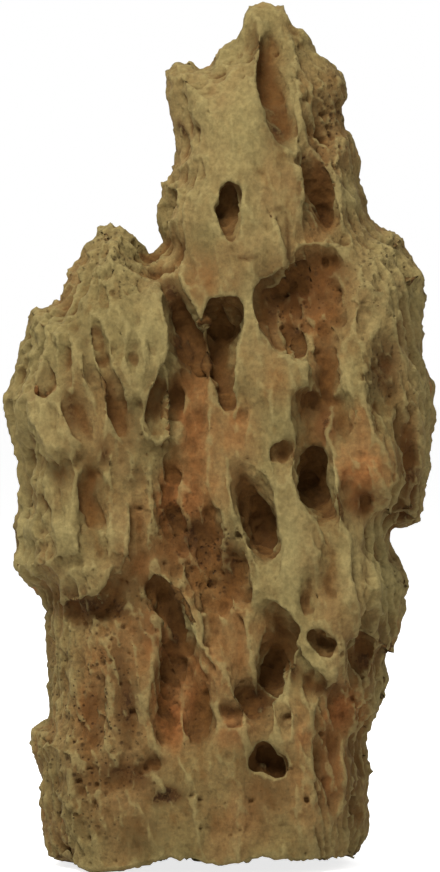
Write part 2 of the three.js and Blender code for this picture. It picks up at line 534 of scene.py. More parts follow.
# The crests and the floors of the front. Each station is x, z and the level.
FRONT_GUIDES = (
    # The tower: its edges, the broad face between them, and the gouge under the crown, whose floor
    # lies close to its steep left wall.
    *guides(
        0.4,
        ((7,248.6,1.5), (13.5,249,1.5), (19,248,1.5)),
        ((-16,229,2.6), (-14,214,2.6), (-14,200,2.4), (-17,190,2), (-16.5,181,2)),
        ((10.6,247,2.6), (11.8,238,3.4), (11,230,4), (12.2,223,4), (15,215,3.8), (17.6,209,3.2),
         (21,206.4,2.6)),
        ((20.6,245,1.8), (22.4,236,2.4), (22.8,228,2.4), (23,218,2), (22.4,211,2)),
        ((21,206.4,2.6), (24.4,202.6,2.8), (24.8,196,2.8), (24.4,189,2.2), (21.4,184.6,1.4)),
        ((11,192,4.2), (15.6,189.4,4.3), (18.4,184.6,4.2), (19.2,179,4.2), (19.1,173,3.8),
         (16,170.4,3.4)),
        ((13.4,193,3.2), (17.4,190.4,2.6), (20.2,185,2), (21,179,1.6), (21,173,1.4)),
        ((-13.6,172,2.6), (-10.6,164.6,2.4), (-8.2,159,1.8), (-5.7,155.4,1)),
        ((-5.7,155.4,1), (-4.8,158.6,2), (-4.2,163.8,2.6), (-1,165.4,2.8), (3,165.2,2.8),
         (5.6,166.8,2.6), (8.5,167.8,2.8), (11,168,3), (14,169.6,3), (18,170.8,3),
         (20.4,173.2,2.4), (20.6,177,2)),
    ),
    *guides(
        1,
        ((-8,228,2.9), (-3,220,3.3), (4,208,3.7), (9,199,3.7)),
        ((-9.5,212.6,2.4), (-4,210.6,2.3), (0,212,2.8)),
        ((-11,196,3.2), (-8,186,3.4), (-6,176,3), (-6,168,2.7)),
        ((8,190,3.9), (10,182,4), (9,174,3.7)),
        ((15.8,243,-0.4), (14.6,237.6,-3.4), (13.7,230,-5.6), (14.7,224,-5.4), (17,217,-4),
         (19.4,211.6,-2.2)),
    ),
    # The tower's right slope, the cleft in it and the block beside the cleft.
    *guides(
        0.8,
        ((24.5,241,0.4), (28,236,0), (31,230,-0.4), (33,222,-1.6), (32.6,214,-2.8),
         (29.6,208,-2.4)),
        ((35,226,-1.4), (35.4,217,-1.8), (38,209,-1.2), (38,203,-0.6)),
        ((27.6,206,-0.4), (28.2,200,-3.6), (29.2,194,-8), (30.6,189,-9), (31.8,184.6,-2)),
        ((26.2,200,-1.4), (26.6,194,-2), (27,188,-1.6)),
        ((24,181.6,0), (30,181.8,0), (36,183,0.2), (40,184.4,0.6)),
    ),
    *guides(
        0.4,
        ((30.8,203,-0.4), (32.2,198,1.4), (34,192,2.2), (34.8,188,1.8)),
        ((33,200.2,1.8), (37,200,2.4), (41,199.4,1.4)),
        ((35,188.4,2.2), (38,188.2,2.6), (42,188,1.6)),
        ((35.6,186.8,0.6), (39,186.6,0.8), (43,186,0.4)),
        ((38,195,2.8), (39,191,2.8)),
    ),
    # The cleft under the prong's left, and the throat on its right.
    *guides(
        0.6,
        ((-16,172,1), (-14.6,167.4,-3), (-13.2,162.6,-6), (-11,158,-8.5), (-8.6,154.4,-9.5),
         (-6.6,151,-10), (-6.4,146,-6.8)),
        ((-1.8,163,-5), (-1.2,159,-9), (-0.8,154,-10), (-1.6,149,-10), (-1,144.6,-9.5),
         (0.4,140,-8), (1,136.6,-6), (1.6,133,-1)),
        ((2.6,163,-5), (2.2,158.6,-8), (1.6,153,-8)),
    ),
    *guides(
        0.4,
        ((-5.6,151.6,-6.4), (-4.2,147,-4.6), (-2.8,142,-3), (-1.4,137.4,-1.6), (-0.4,133.6,-0.6)),
        # The shoulder's mass and its right edge.
        ((-21.5,177,2), (-18,170,3.4), (-16.2,163,4.2), (-15.4,155,4.8), (-15.4,148,4.8),
         (-18.2,142.6,4.6), (-21,137.4,4.2), (-22,135.6,3.6)),
        ((-34.2,158,4.2), (-32.6,150,4.4), (-31,143,4.4), (-28.8,137,4.2), (-27.6,135.6,3.6),
         (-24.6,136.2,3.8), (-22,135.6,3.6)),
        ((-38.8,163,4), (-37.8,157,5), (-36.6,151,4.8), (-34.8,146,4.6), (-33.2,140,4.6),
         (-32.2,134,4), (-29.8,128,3)),
        ((-37.4,160,3), (-35.7,153,1.6), (-34,147,1.4), (-32.2,141,0.6), (-31,135,-1.5),
         (-29.8,130,-2), (-29,127,0.6)),
        ((-42,160,3.6), (-41.6,152,4.4), (-40.4,146,4.6), (-38.8,141,3.8), (-38,138.6,3)),
        ((-40,158,2.8), (-39.6,151,3), (-38.2,145.6,2.6), (-36.6,139,2.4)),
        ((-45,161,3.6), (-44.6,153,4.2), (-44,146,3.6), (-43.6,141.6,2.8)),
        ((-46.4,155,2.2), (-46.6,148,1), (-46,142,0.8)),
        ((-56,158.6,3), (-52,157.4,4), (-48.6,157,4.2), (-47.8,151,3.4)),
        ((-58,149,2.8), (-56.4,144.6,3.6), (-54.6,141,4)),
    ),
    *guides(
        1,
        ((-32,182,1.5), (-30,174,3), (-28,166,4), (-29.4,157,4.6), (-28.2,148,4.9),
         (-26.4,141,4.6)),
        ((-22.4,162,4.4), (-22,154,5.2), (-22.4,146,5.1)),
        ((-25.4,160,3.8), (-25.2,152,3.9), (-24.6,144,3.8)),
        ((-18.8,158,4.2), (-18.8,151,4.2)), ((-40,172,2.6), (-38,166,3.2)),
        ((-52,143.4,0.8), (-49.6,145.6,0.6), (-48.4,150,1.4)),
        ((-55,152,2), (-54,148,2)),
    ),
    # The lump, with the crest on its upper right, and the scoop right of that.
    *guides(
        0.4,
        ((-60,140,2.6), (-56,140.6,3.6), (-52.6,138.8,4.4), (-48.6,136,4.6), (-46.2,133,5),
         (-44.6,130,5), (-42.8,127.2,4.8), (-40.6,124.8,4.4), (-43,121.6,4.4), (-44.6,119.2,4.6),
         (-50,118.6,5), (-57,119,4.4), (-61,121,2.6)),
        ((-60,116.8,0.6), (-56,116.6,1.4), (-50,116.2,1), (-44.8,116.2,0.6), (-42,118.6,0.4),
         (-39.2,121.6,1)),
        ((-44.8,139.4,2.2), (-41,140.6,2.4), (-38.4,139.4,2.6)),
        ((-50.6,134,4), (-49.4,130,4.2), (-50,126,4.6)),
    ),
    *guides(
        0.8,
        ((-56,130,5.8), (-52,126,6), (-48,122.4,6)),
        ((-43.6,137,0.6), (-43.2,132.6,-0.6), (-41.4,128.6,-0.8), (-39.4,125.8,0.6)),
        ((-37,134,1.4), (-36,128,2), (-35,122.6,2.2)),
    ),
    # The scoops between the shoulder's edge and the flute, the slot and the lip.
    *guides(
        0.4,
        ((-22.2,134.6,3.2), (-22.8,130,2.6), (-23.4,126,2.8)),
        ((-15.4,136,1.6), (-15.4,131,2.2), (-14.6,127,2.6), (-14,124.6,2.4)),
        ((-14,143,-1.6), (-13,137,-2.6), (-12.8,131.6,-2), (-12.6,127,-1.6)),
        ((-23.4,126,2.4), (-20.6,124.6,2.6), (-17,123.8,2.6), (-14,124.6,2)),
    ),
    *guides(
        0.6,
        ((-25.4,135,0.4), (-26.4,131,0), (-27,124,0.6)),
        ((-17,143.6,-0.8), (-18.8,139,-2.2), (-19.6,134,-1.6), (-19.4,128,0.4)),
        ((-21,121.4,1), (-17.4,120.6,0.4), (-14.6,120.6,-1)),
        ((-19,117,0.8), (-17.6,110,-0.8)),
    ),
    # The shoulder below the ledge: long hollows with narrow crests between them.
    *guides(
        0.4,
        ((-34.6,122.6,2.4), (-33.4,119.6,3), (-33.2,114,2.6), (-31.6,106,2.8), (-30,100,3)),
        ((-41,119,1.6), (-43,114.6,3.4), (-43.8,109,4), (-45,104,4), (-48.6,102.6,3.6)),
        ((-59,112,2.6), (-54,108,3.4), (-50.8,105.4,3.4)),
        ((-57,110.2,1), (-53,106,0.8), (-50,103.6,1.4)),
        ((-26,121,1.6), (-27.2,113,2.8), (-27,105,2.8), (-26.4,97,3.4), (-26.8,91,3)),
        ((-22.6,115,1.6), (-21,108,2.6), (-20.2,101,2), (-21.4,95,1)),
        ((-49.6,99.4,4.6), (-45,100.8,5), (-41.8,97.6,5), (-41.4,93.4,4.8), (-43.6,90.9,4.4),
         (-49,91.4,4.2), (-49.6,99.4,4.6)),
        ((-49.4,89.6,1.2), (-44,89.2,1.2), (-40.4,91,1.4), (-39.8,95,1.6), (-39.4,99,1.6)),
        ((-34,98,4), (-30.4,99.2,4.4), (-27.2,97,4.4), (-27,92.4,4), (-29,91.4,3.8),
         (-33.6,92.4,3.8), (-34,98,4)),
        ((-35.6,98,1.8), (-35.4,93,1.8), (-34.2,90.8,1.8), (-28,90,1.8)),
        ((-47.6,86.4,3.4), (-42,88,4), (-36,89,4.4), (-33,87.4,4.4), (-32.2,84.6,4.2),
         (-34.8,81.4,4), (-39.6,79,4), (-44,78.4,3.6), (-48,78,3.4), (-52,79.4,3)),
        ((-46,84.6,2.6), (-44,81,2.2)), ((-58,104,3.4), (-57.6,95,4), (-56.6,88,3.6)),
        ((-52,98,2.4), (-51.6,90,2.2), (-50.6,84,2)),
    ),
    *guides(
        1,
        ((-38.4,115,-1.6), (-39.2,110,-2.4), (-38,104.6,-1.8), (-37,101,0)),
        ((-52.4,113.6,2), (-48,110.6,2.6), (-46.8,106.6,3.4)),
        ((-29.8,117,0.6), (-29.4,110,0), (-29,104,0.6)),
        ((-25,112,0.2), (-24.6,104,-0.6), (-24,96,-1), (-25,89,-1)),
        ((-50,75.6,-1), (-44,75.4,-2.8), (-38,75.2,-3.2), (-33.8,77.8,-3), (-29,82.4,-2.4),
         (-25.4,86.4,-2), (-22,91,-2)),
    ),
    # The flute down the middle, and the ground on its right.
    *guides(
        2.2,
        ((-10,143,-4.4), (-8.6,136,-3.2), (-8,129,-2.6), (-8.6,121,-2.2), (-8.6,114,-2.2),
         (-9.6,107,-3)),
        ((-3.2,128,-1.2), (-2.6,120,-0.8), (-3,112,-1)),
        ((4,122,0), (8.4,118.6,1), (12.4,117.4,2)),
    ),
    *guides(
        0.5,
        ((-4.6,149,-5.6), (-3,143.6,-4), (-1.6,138.6,-2.8), (-0.4,134.8,-1.2), (1,131.4,-0.4)),
        ((-14.4,119,-3), (-14.2,113,-2.8), (-15.2,106,-3.4), (-14.4,101.4,-5), (-11,97,-5.6)),
        ((-12.4,112,-2.4), (-12.2,106,-2.6), (-10.8,101.6,-3.4)),
        ((-18.6,112,-1), (-17.6,104,-2), (-17.4,97,-2.6)),
        ((-6.6,108,-2.2), (-6.4,103,-3), (-7,99.6,-4)), ((-5,104,-5), (-3.6,101,-5)),
    ),
    # The tongue, from its narrow neck to its tip, and the pocket under the tip.
    *guides(
        0.4,
        ((7.2,171,2.2), (7.6,165,2), (6.2,160,2.4), (4.2,154,3), (3,148,3.4), (2.8,143,3.4),
         (3.4,138.6,3)),
        ((9.6,168.6,2.4), (10,161.6,2.2), (12,156,3), (15,150.8,3.4), (18,148.8,3.8),
         (22.4,148.4,4), (26.2,147.2,4.2), (27.2,142.6,4.2), (25,139,4.2), (21.2,137,4.2),
         (20.4,131,4.2), (20.2,125.8,4), (18,122.6,3.6), (14.4,121.8,2.8)),
        ((3.4,132.6,0.8), (6.4,130.2,1), (8.4,133.6,1.4), (6.6,136.4,1.8)),
        ((14,120,2.4), (13.8,115,2.8), (15.4,112,3)),
        ((15.6,120.6,0), (17.4,121.2,-0.6), (20,120.6,0)),
        ((16,115.6,2.4), (19.6,115.2,2.6), (21.6,117.6,2.6)),
    ),
    *guides(
        1,
        ((8.4,156,3.2), (8,149,3.8), (11,142,4.2), (14.6,135,4.4), (16.6,129,4.2)),
        ((10.4,134,2.4), (9,127,1.8), (12,124,2.4)), ((17.6,118.4,0.4), (19.4,117.8,0.8)),
        ((21,143,4.6), (17,145,4.2)),
    ),
    # The cave: one wide recess, deepest under the tower's edge, with a drain at its foot.
    *guides(
        0.6,
        ((12.4,164.8,-4), (15,166,-6), (18.4,167.4,-6), (21.8,169.8,-5.4), (24.6,173.4,-4.6),
         (28.8,175.6,-4.6), (33,174.6,-3.6)),
        ((22,179.6,1.4), (25,181,1.2), (29.4,181.6,1.4), (34,181,1.4), (38,178.6,1.8)),
        ((38,178.6,1.8), (41,174,2.4), (41.4,168,3), (40,163,2.6), (39,156,2)),
        ((14,160.6,-4.6), (15.8,156,-3.6), (17.8,152.4,-2.6)),
        ((20.4,155.6,-4.4), (22.6,152.8,-4.6)),
        ((28.4,153,-2.8), (29.2,148,-4.2), (30.2,142.6,-5), (29.6,137.6,-5)),
        ((34.2,150,0.6), (33.6,144,1.6), (33.4,138.4,2)),
    ),
    *guides(
        1.6,
        ((20,163.4,-5), (26,164,-4.6), (31,166.6,-4)), ((26,158.8,-3.4), (31.6,158.8,-2.2)),
    ),
    # The hollows under the cave's drain, and the orange tongues between them.
    *guides(
        0.5,
        ((22.6,136.6,-0.6), (25.6,135.6,-3), (29,135.2,-4), (32.6,135.2,-3), (35.6,135.4,-1)),
        ((24.8,132,-2.4), (24.4,127,-1.4), (24.8,122.4,-2)),
        ((30,131.6,-0.8), (30.8,127,1), (31,122.6,1.6)),
        ((34.4,133,-1.4), (35,128.6,-1.6), (34.8,123.6,0.6)),
        ((38,133,2), (39,128,2.2), (41.4,123,2.4)),
        ((21.2,134.6,3.6), (21.2,129,3.2), (21.8,123.6,2.4)),
        ((36.4,137,3), (35.8,142,3), (36.8,147.4,2.8), (38.4,152,2.4)),
        ((38.4,152,2.4), (41,147.6,3.2), (42,141,3.6), (42,133,3.4), (43.4,126,3.2)),
    ),
    *guides(
        1,
        ((39,144,2), (39,138,2)),
    ),
    # The black pit, the spike on its right, and the orange face.
    *guides(
        0.4,
        ((21.8,122,2.2), (21,117,2.8), (21.2,112,3.2), (22.8,107.6,3.4), (25.4,103.6,3.6),
         (28.6,101,3.6)),
        ((31,119,2), (31.8,114.6,3.2), (32.8,109,5), (33.8,104,4.6), (34.6,99.4,2.6)),
        ((46.6,123.4,3), (49.6,120.6,3.4), (52,116.6,3.8), (52.6,113,4), (50.4,110.4,3.6),
         (50,105.6,3.2), (49,101.4,3)),
        ((45,110,2.2), (46,104.6,2.4), (45,99.6,2.6)),
    ),
    *guides(
        0.7,
        ((26.4,121.6,-3), (28,117.4,-9), (26.4,113,-13), (27.6,108.6,-13), (29.6,105,-9),
         (31.4,100.6,-1)),
        ((25,116,-8), (24.8,112,-9)), ((34.6,118,1.8), (40,117,2.6), (47,116,3)),
        ((36,110,0.4), (36.6,105,0.2), (37.4,99.6,1.6)),
        ((41,110.6,1), (41.2,107,-0.6), (40.8,102.8,0)),
    ),
    # The right block, its speckled hollow and the groove down the flank.
    *guides(
        1,
        ((46,182,1.8), (50,178,2.6), (53,172,3), (53,164,3.2), (52,156,3)),
        ((44,176,2.6), (46,169,3.2), (47,162,3.4), (45.4,156,3.2)),
        ((40.6,161.6,0.4), (40,157.4,0.2)),
        ((44.4,148.6,0), (46.8,145.6,-1), (47.4,140.6,-1.6), (48.2,135,-2), (48.2,129.6,-1.6)),
        ((57.4,168,2), (57,158,3), (57.6,148,3), (59.6,139,3), (60,131,2.6), (59.6,122,2.4),
         (59.4,113,2)),
        ((52.8,135,-0.5), (53.8,128,-3), (54.6,121,-5), (55,114,-5), (53.8,107.6,-5),
         (51.8,102,-5.5), (51,99,-5)),
    ),
    # The long pit, whose floor lies close to its steep right wall.
    *guides(
        0.4,
        ((1.2,120,0.2), (1.6,113,0.8), (2.8,106,1.6), (4.4,100,2), (6.4,95,2.4), (8.6,90.8,2.8),
         (10.2,87,3.2)),
        ((9.6,119.6,1.6), (12,115,2.2), (14.2,108.6,2.8), (15.8,102,3.4), (17,96,4),
         (17.4,91.2,4.2), (16,86.6,4.2)),
    ),
    *guides(
        0.7,
        ((4.2,118,0.2), (5.6,113,-1.6), (7.6,108.4,-4), (10,104,-8), (12.2,99.6,-12),
         (13.6,95.4,-12), (13.8,91.6,-7), (12.8,88,1)),
        ((8.4,100.6,-4), (10.4,95,-6)),
    ),
    # The pale plate: its left half, the channels in it, and its right half with the beak.
    *guides(
        0.4,
        ((15.2,112,2.8), (17.4,110,3.4), (21,107.6,3.6)),
        ((12,77.6,3.4), (15,75,4.2), (18,73.8,4.6), (21,70.2,4.8), (23.6,68,4.8)),
        ((28.8,99.4,3.6), (28.2,92,4.4), (27.4,86,4.8), (26.8,80,4.6), (26.8,74,4.6)),
        ((25.4,84.4,3.6), (25.4,79,1.6), (25.2,74.6,2.4)),
        ((46,99,4.4), (46.8,91,5), (47.2,83,5), (46.8,76.4,4.6), (42.4,72.8,4.8), (39.8,68.8,5),
         (37.4,64.4,5), (36.6,59,4.8), (35.8,54.4,4.4), (33.6,52.4,4.2), (30.8,53.8,4),
         (27,57.6,4), (23.8,61.8,3.8), (22.6,65.4,3.8)),
        ((50,97,3), (51.6,89,3.2), (52.6,82,2.8), (51.6,76,2)),
    ),
    *guides(
        1,
        ((21,104,4.4), (22,97,5.2), (20.6,90,5.4), (17,84,5), (14.4,80,4.4)),
        ((24.4,92,5), (22.6,84,5), (20,78,4.8), (22.6,73,5)),
        ((31,97,1.4), (31.6,90,1.2), (31.2,84,1.4), (29.8,79,2.4)),
        ((36.6,98,3.8), (37,91,5), (38,84,5.8), (37,77,6), (34.6,71,5.8), (32,74,5.4)),
        ((42.4,98,3), (43.2,91,3.4), (43.8,85,3.8), (43.4,79,4.2)),
        ((30,60,5), (33,57.6,5)), ((49.2,94,1.6), (49.8,86,1.6), (49.4,79,1.6)),
    ),
    # The shelf and the hollow right of the beak.
    *guides(
        0.8,
        ((43,70.4,0.6), (47,72,1), (50.4,72,0.6)), ((46.6,66.8,1), (50,65,0)),
        ((38.6,64,-1.6), (41.6,62.4,-4), (43.6,60.4,-3)),
        ((38.4,59,-3), (39.6,55,-2)),
        ((48,58,1.6), (47.4,50,1.8), (45,43.6,1.4), (42.6,37,1)),
    ),
    # The broken ground under the flute.
    *guides(
        0.7,
        ((-15.4,100,-4), (-13.4,97,-5.4), (-9,95.4,-6), (-5,94,-6.4), (-3,90,-6),
         (-1.6,85.6,-4.6)),
        ((-18.6,93,-2.6), (-16.4,88,-3), (-13,86.4,-3.4)),
        ((3.4,92,-1), (4.6,88,-4), (4.4,83.4,-4.4), (5.4,78.4,-3.4)),
        ((-5.8,81,-3), (-3,76.6,-3), (0,73.6,-2.4)),
    ),
    *guides(
        0.4,
        ((6.8,91,0.8), (7,86,1.2), (7.6,82.4,1.6), (10,80,3)),
        ((-0.6,92,-1.6), (0,99,0), (-0.6,106,0)), ((-9,91,-3), (-8.6,85,-2), (-9.4,80,-1)),
        # The long crest down the foot, the dark channel on its left and the slope on its right.
        ((-21,85,-0.6), (-17.4,84.6,1.6), (-14.4,82,2.8), (-12.2,78,3.2), (-10.4,73.6,3),
         (-9,69,3), (-7.2,65,3.2), (-4.6,61.6,3.4), (-1.4,58.8,3.2), (1.2,55.8,3.2),
         (3.4,51.6,3.2), (5,47.4,2.8), (6,44,1.8)),
        ((3.8,76,0.6), (5.4,71.4,1.2), (7.4,66,1.6), (9.4,61.4,1.6), (10.6,57.4,1.4), (11,53.8,1)),
        ((-4.2,75,-1), (-1.6,69,-0.6), (1,64.4,-0.4), (3.4,59.6,-0.6), (5.6,54.6,-1.4)),
    ),
    *guides(
        0.7,
        ((-22.4,82.6,-1.4), (-19,81.4,-4.4), (-16.4,78.4,-6.6), (-14.4,74.6,-8), (-12.8,70.6,-9),
         (-12,66,-7.6), (-12.6,61.4,-7)),
        ((-18.6,73.6,0.4), (-17,68,0.2), (-16.8,62.4,-0.8)),
        ((-24,76,-1), (-26,70,-0.4)),
        # The channel under the pale plate, and the dark hole at its foot.
        ((13.4,74.6,0.4), (15.4,72,-2), (18,69,-4), (18.4,65.6,-5.4), (17.4,62,-7.4),
         (16.2,58.6,-9.6), (15,55.4,-10), (14,51.6,-8), (12.4,47.6,-5.4)),
        ((13,69,0), (12.4,63,-0.8), (12,58,-1.6)),
        ((21.6,59.4,-0.6), (21.6,56,-1.4), (22,51.6,-0.6)),
        ((25.4,54.6,-2.4), (29,52,-2.6)),
    ),
    *guides(
        0.4,
        ((20.8,65.6,2.4), (20.6,61,0.6), (19.6,56.4,0.2), (18.4,52.4,0.6), (17.4,49,1.4)),
    ),
    # The red bowl and the ribs in it.
    *guides(
        0.8,
        ((-12.6,61.4,-7), (-13.8,57.4,-8), (-15.4,52.6,-7), (-16,46,-6), (-15.6,40,-4.6),
         (-13.8,35,-2)),
        ((-8.2,50.4,-4.6), (-6.6,45.4,-6), (-6.4,40.4,-6), (-7,35.4,-2)),
        ((-9.4,56.8,-4), (-5.4,53.6,-2.4)),
    ),
    *guides(
        0.4,
        ((-20.6,62,0.8), (-20.6,56,1.4), (-20.6,50,1.6), (-20,44,1.4), (-18.6,38,1.2),
         (-16.6,32,1)),
        ((-12.4,52,-4), (-11.6,46,-3), (-11.2,40,-2), (-10.8,34,-0.4)),
        ((-2.6,49,-0.4), (-1.4,43,0.4), (-1,38,0.8), (-1.8,33,1)),
    ),
    # The hollows right of the crest, the lump under them and the fan of ribs.
    *guides(
        0.6,
        ((5.6,51,-1.6), (8,49,-4.6), (11,46.8,-6), (12.6,43.6,-3.4), (12.6,38,-1)),
        ((0.6,46.4,-1.6), (2.6,44.4,-3), (5,43.8,-2)),
        ((2.4,40.6,2.2), (6.4,39.6,2.8), (7,35.6,2.4)),
    ),
    *guides(
        0.3,
        ((13,50.4,1.4), (14.8,46,2.6), (15.8,42,3), (16.8,38,3), (18.2,34.8,2.6)),
        ((17.2,50,1.4), (19.8,46.4,3), (21.6,42.8,3.4), (21.2,39,3.2), (19.6,35,2.6)),
        ((22.8,50,0.8), (25.4,46.8,2), (26.4,43.6,2.4), (25,40,2.4), (23,36.8,2), (21,34.4,1.8)),
        ((15.8,48.4,0.2), (17.8,44,0.8), (18.6,39,1.4)),
        ((21.6,48,0), (23.8,44,0.8), (23,39.6,1.2)),
    ),
    # The rust bowl under the beak, and the groove that it drains into.
    *guides(
        0.8,
        ((31.4,51,-2), (34.6,48.6,-4), (35.6,43.6,-4), (33.4,38.6,-3), (31.8,32.6,-2.2),
         (31.8,26,-1.6), (32.4,19.6,-0.6), (32.8,11,0.8)),
        ((39,34,-1), (38.8,26.6,-0.6), (38.4,19,0.2)),
    ),
    *guides(
        0.4,
        ((29,49,0.6), (28,44,1.6), (27.8,37,1.8), (27.8,30,1.6), (28.4,22,1.6), (29.6,13,1.4)),
        ((43,50,1.6), (42,43.4,1.2), (38.8,38,1.2), (36.6,33.6,1.6), (36.4,26,1.6), (35.8,16,1.6)),
        ((41.8,34,1), (42,24,1), (40.6,10,1)),
    ),
    # The apron along the bottom.
    *guides(
        1,
        ((-8,29,1.4), (-8,18,2), (-7,6,1.6)), ((-1,27,0.6), (-0.6,17,1), (0,8,1)),
        ((4,29,1.8), (5.4,18,1.8), (5,6,1.6)), ((12,22.6,-1.6), (15,17.4,-0.4), (15,8,0.8)),
        ((22,27,1), (24.4,20,2), (24.6,12,2), (24,4,1.2)),
        ((35,10,1.2), (36,3,1)), ((-14,26,0.6), (-13,15,0.8), (-14,5,0.8)),
    ),
    # The foot's left column: shallow flutes above, a row of hollows under them.
    *guides(
        0.8,
        ((-46,71,1.2), (-46,60,2.2), (-46,48,2.2), (-48,36,2), (-48,24,2), (-47,8,1.4)),
        ((-38,70,0.4), (-38.4,60,0), (-37.4,50,-0.8), (-37.4,40,-0.6), (-36,31,0)),
        ((-33,68,1), (-34,56,1.8), (-33.4,44,1.8), (-32,33,1.6)),
        ((-29.6,64,0), (-28.4,52,-1.2), (-27.4,41,-1.2), (-26,33.6,-0.4)),
        ((-24,66,1.2), (-24,54,1.8), (-23,44,1.6), (-22,35,1.2)),
        ((-38,26,0), (-32,23.6,-0.8), (-25,26.8,-1.4), (-19.6,29.6,-2)),
        ((-26,16,1.6), (-33,12,1.2)), ((-20,24.6,1.2), (-18,13,1.2)),
    ),
)

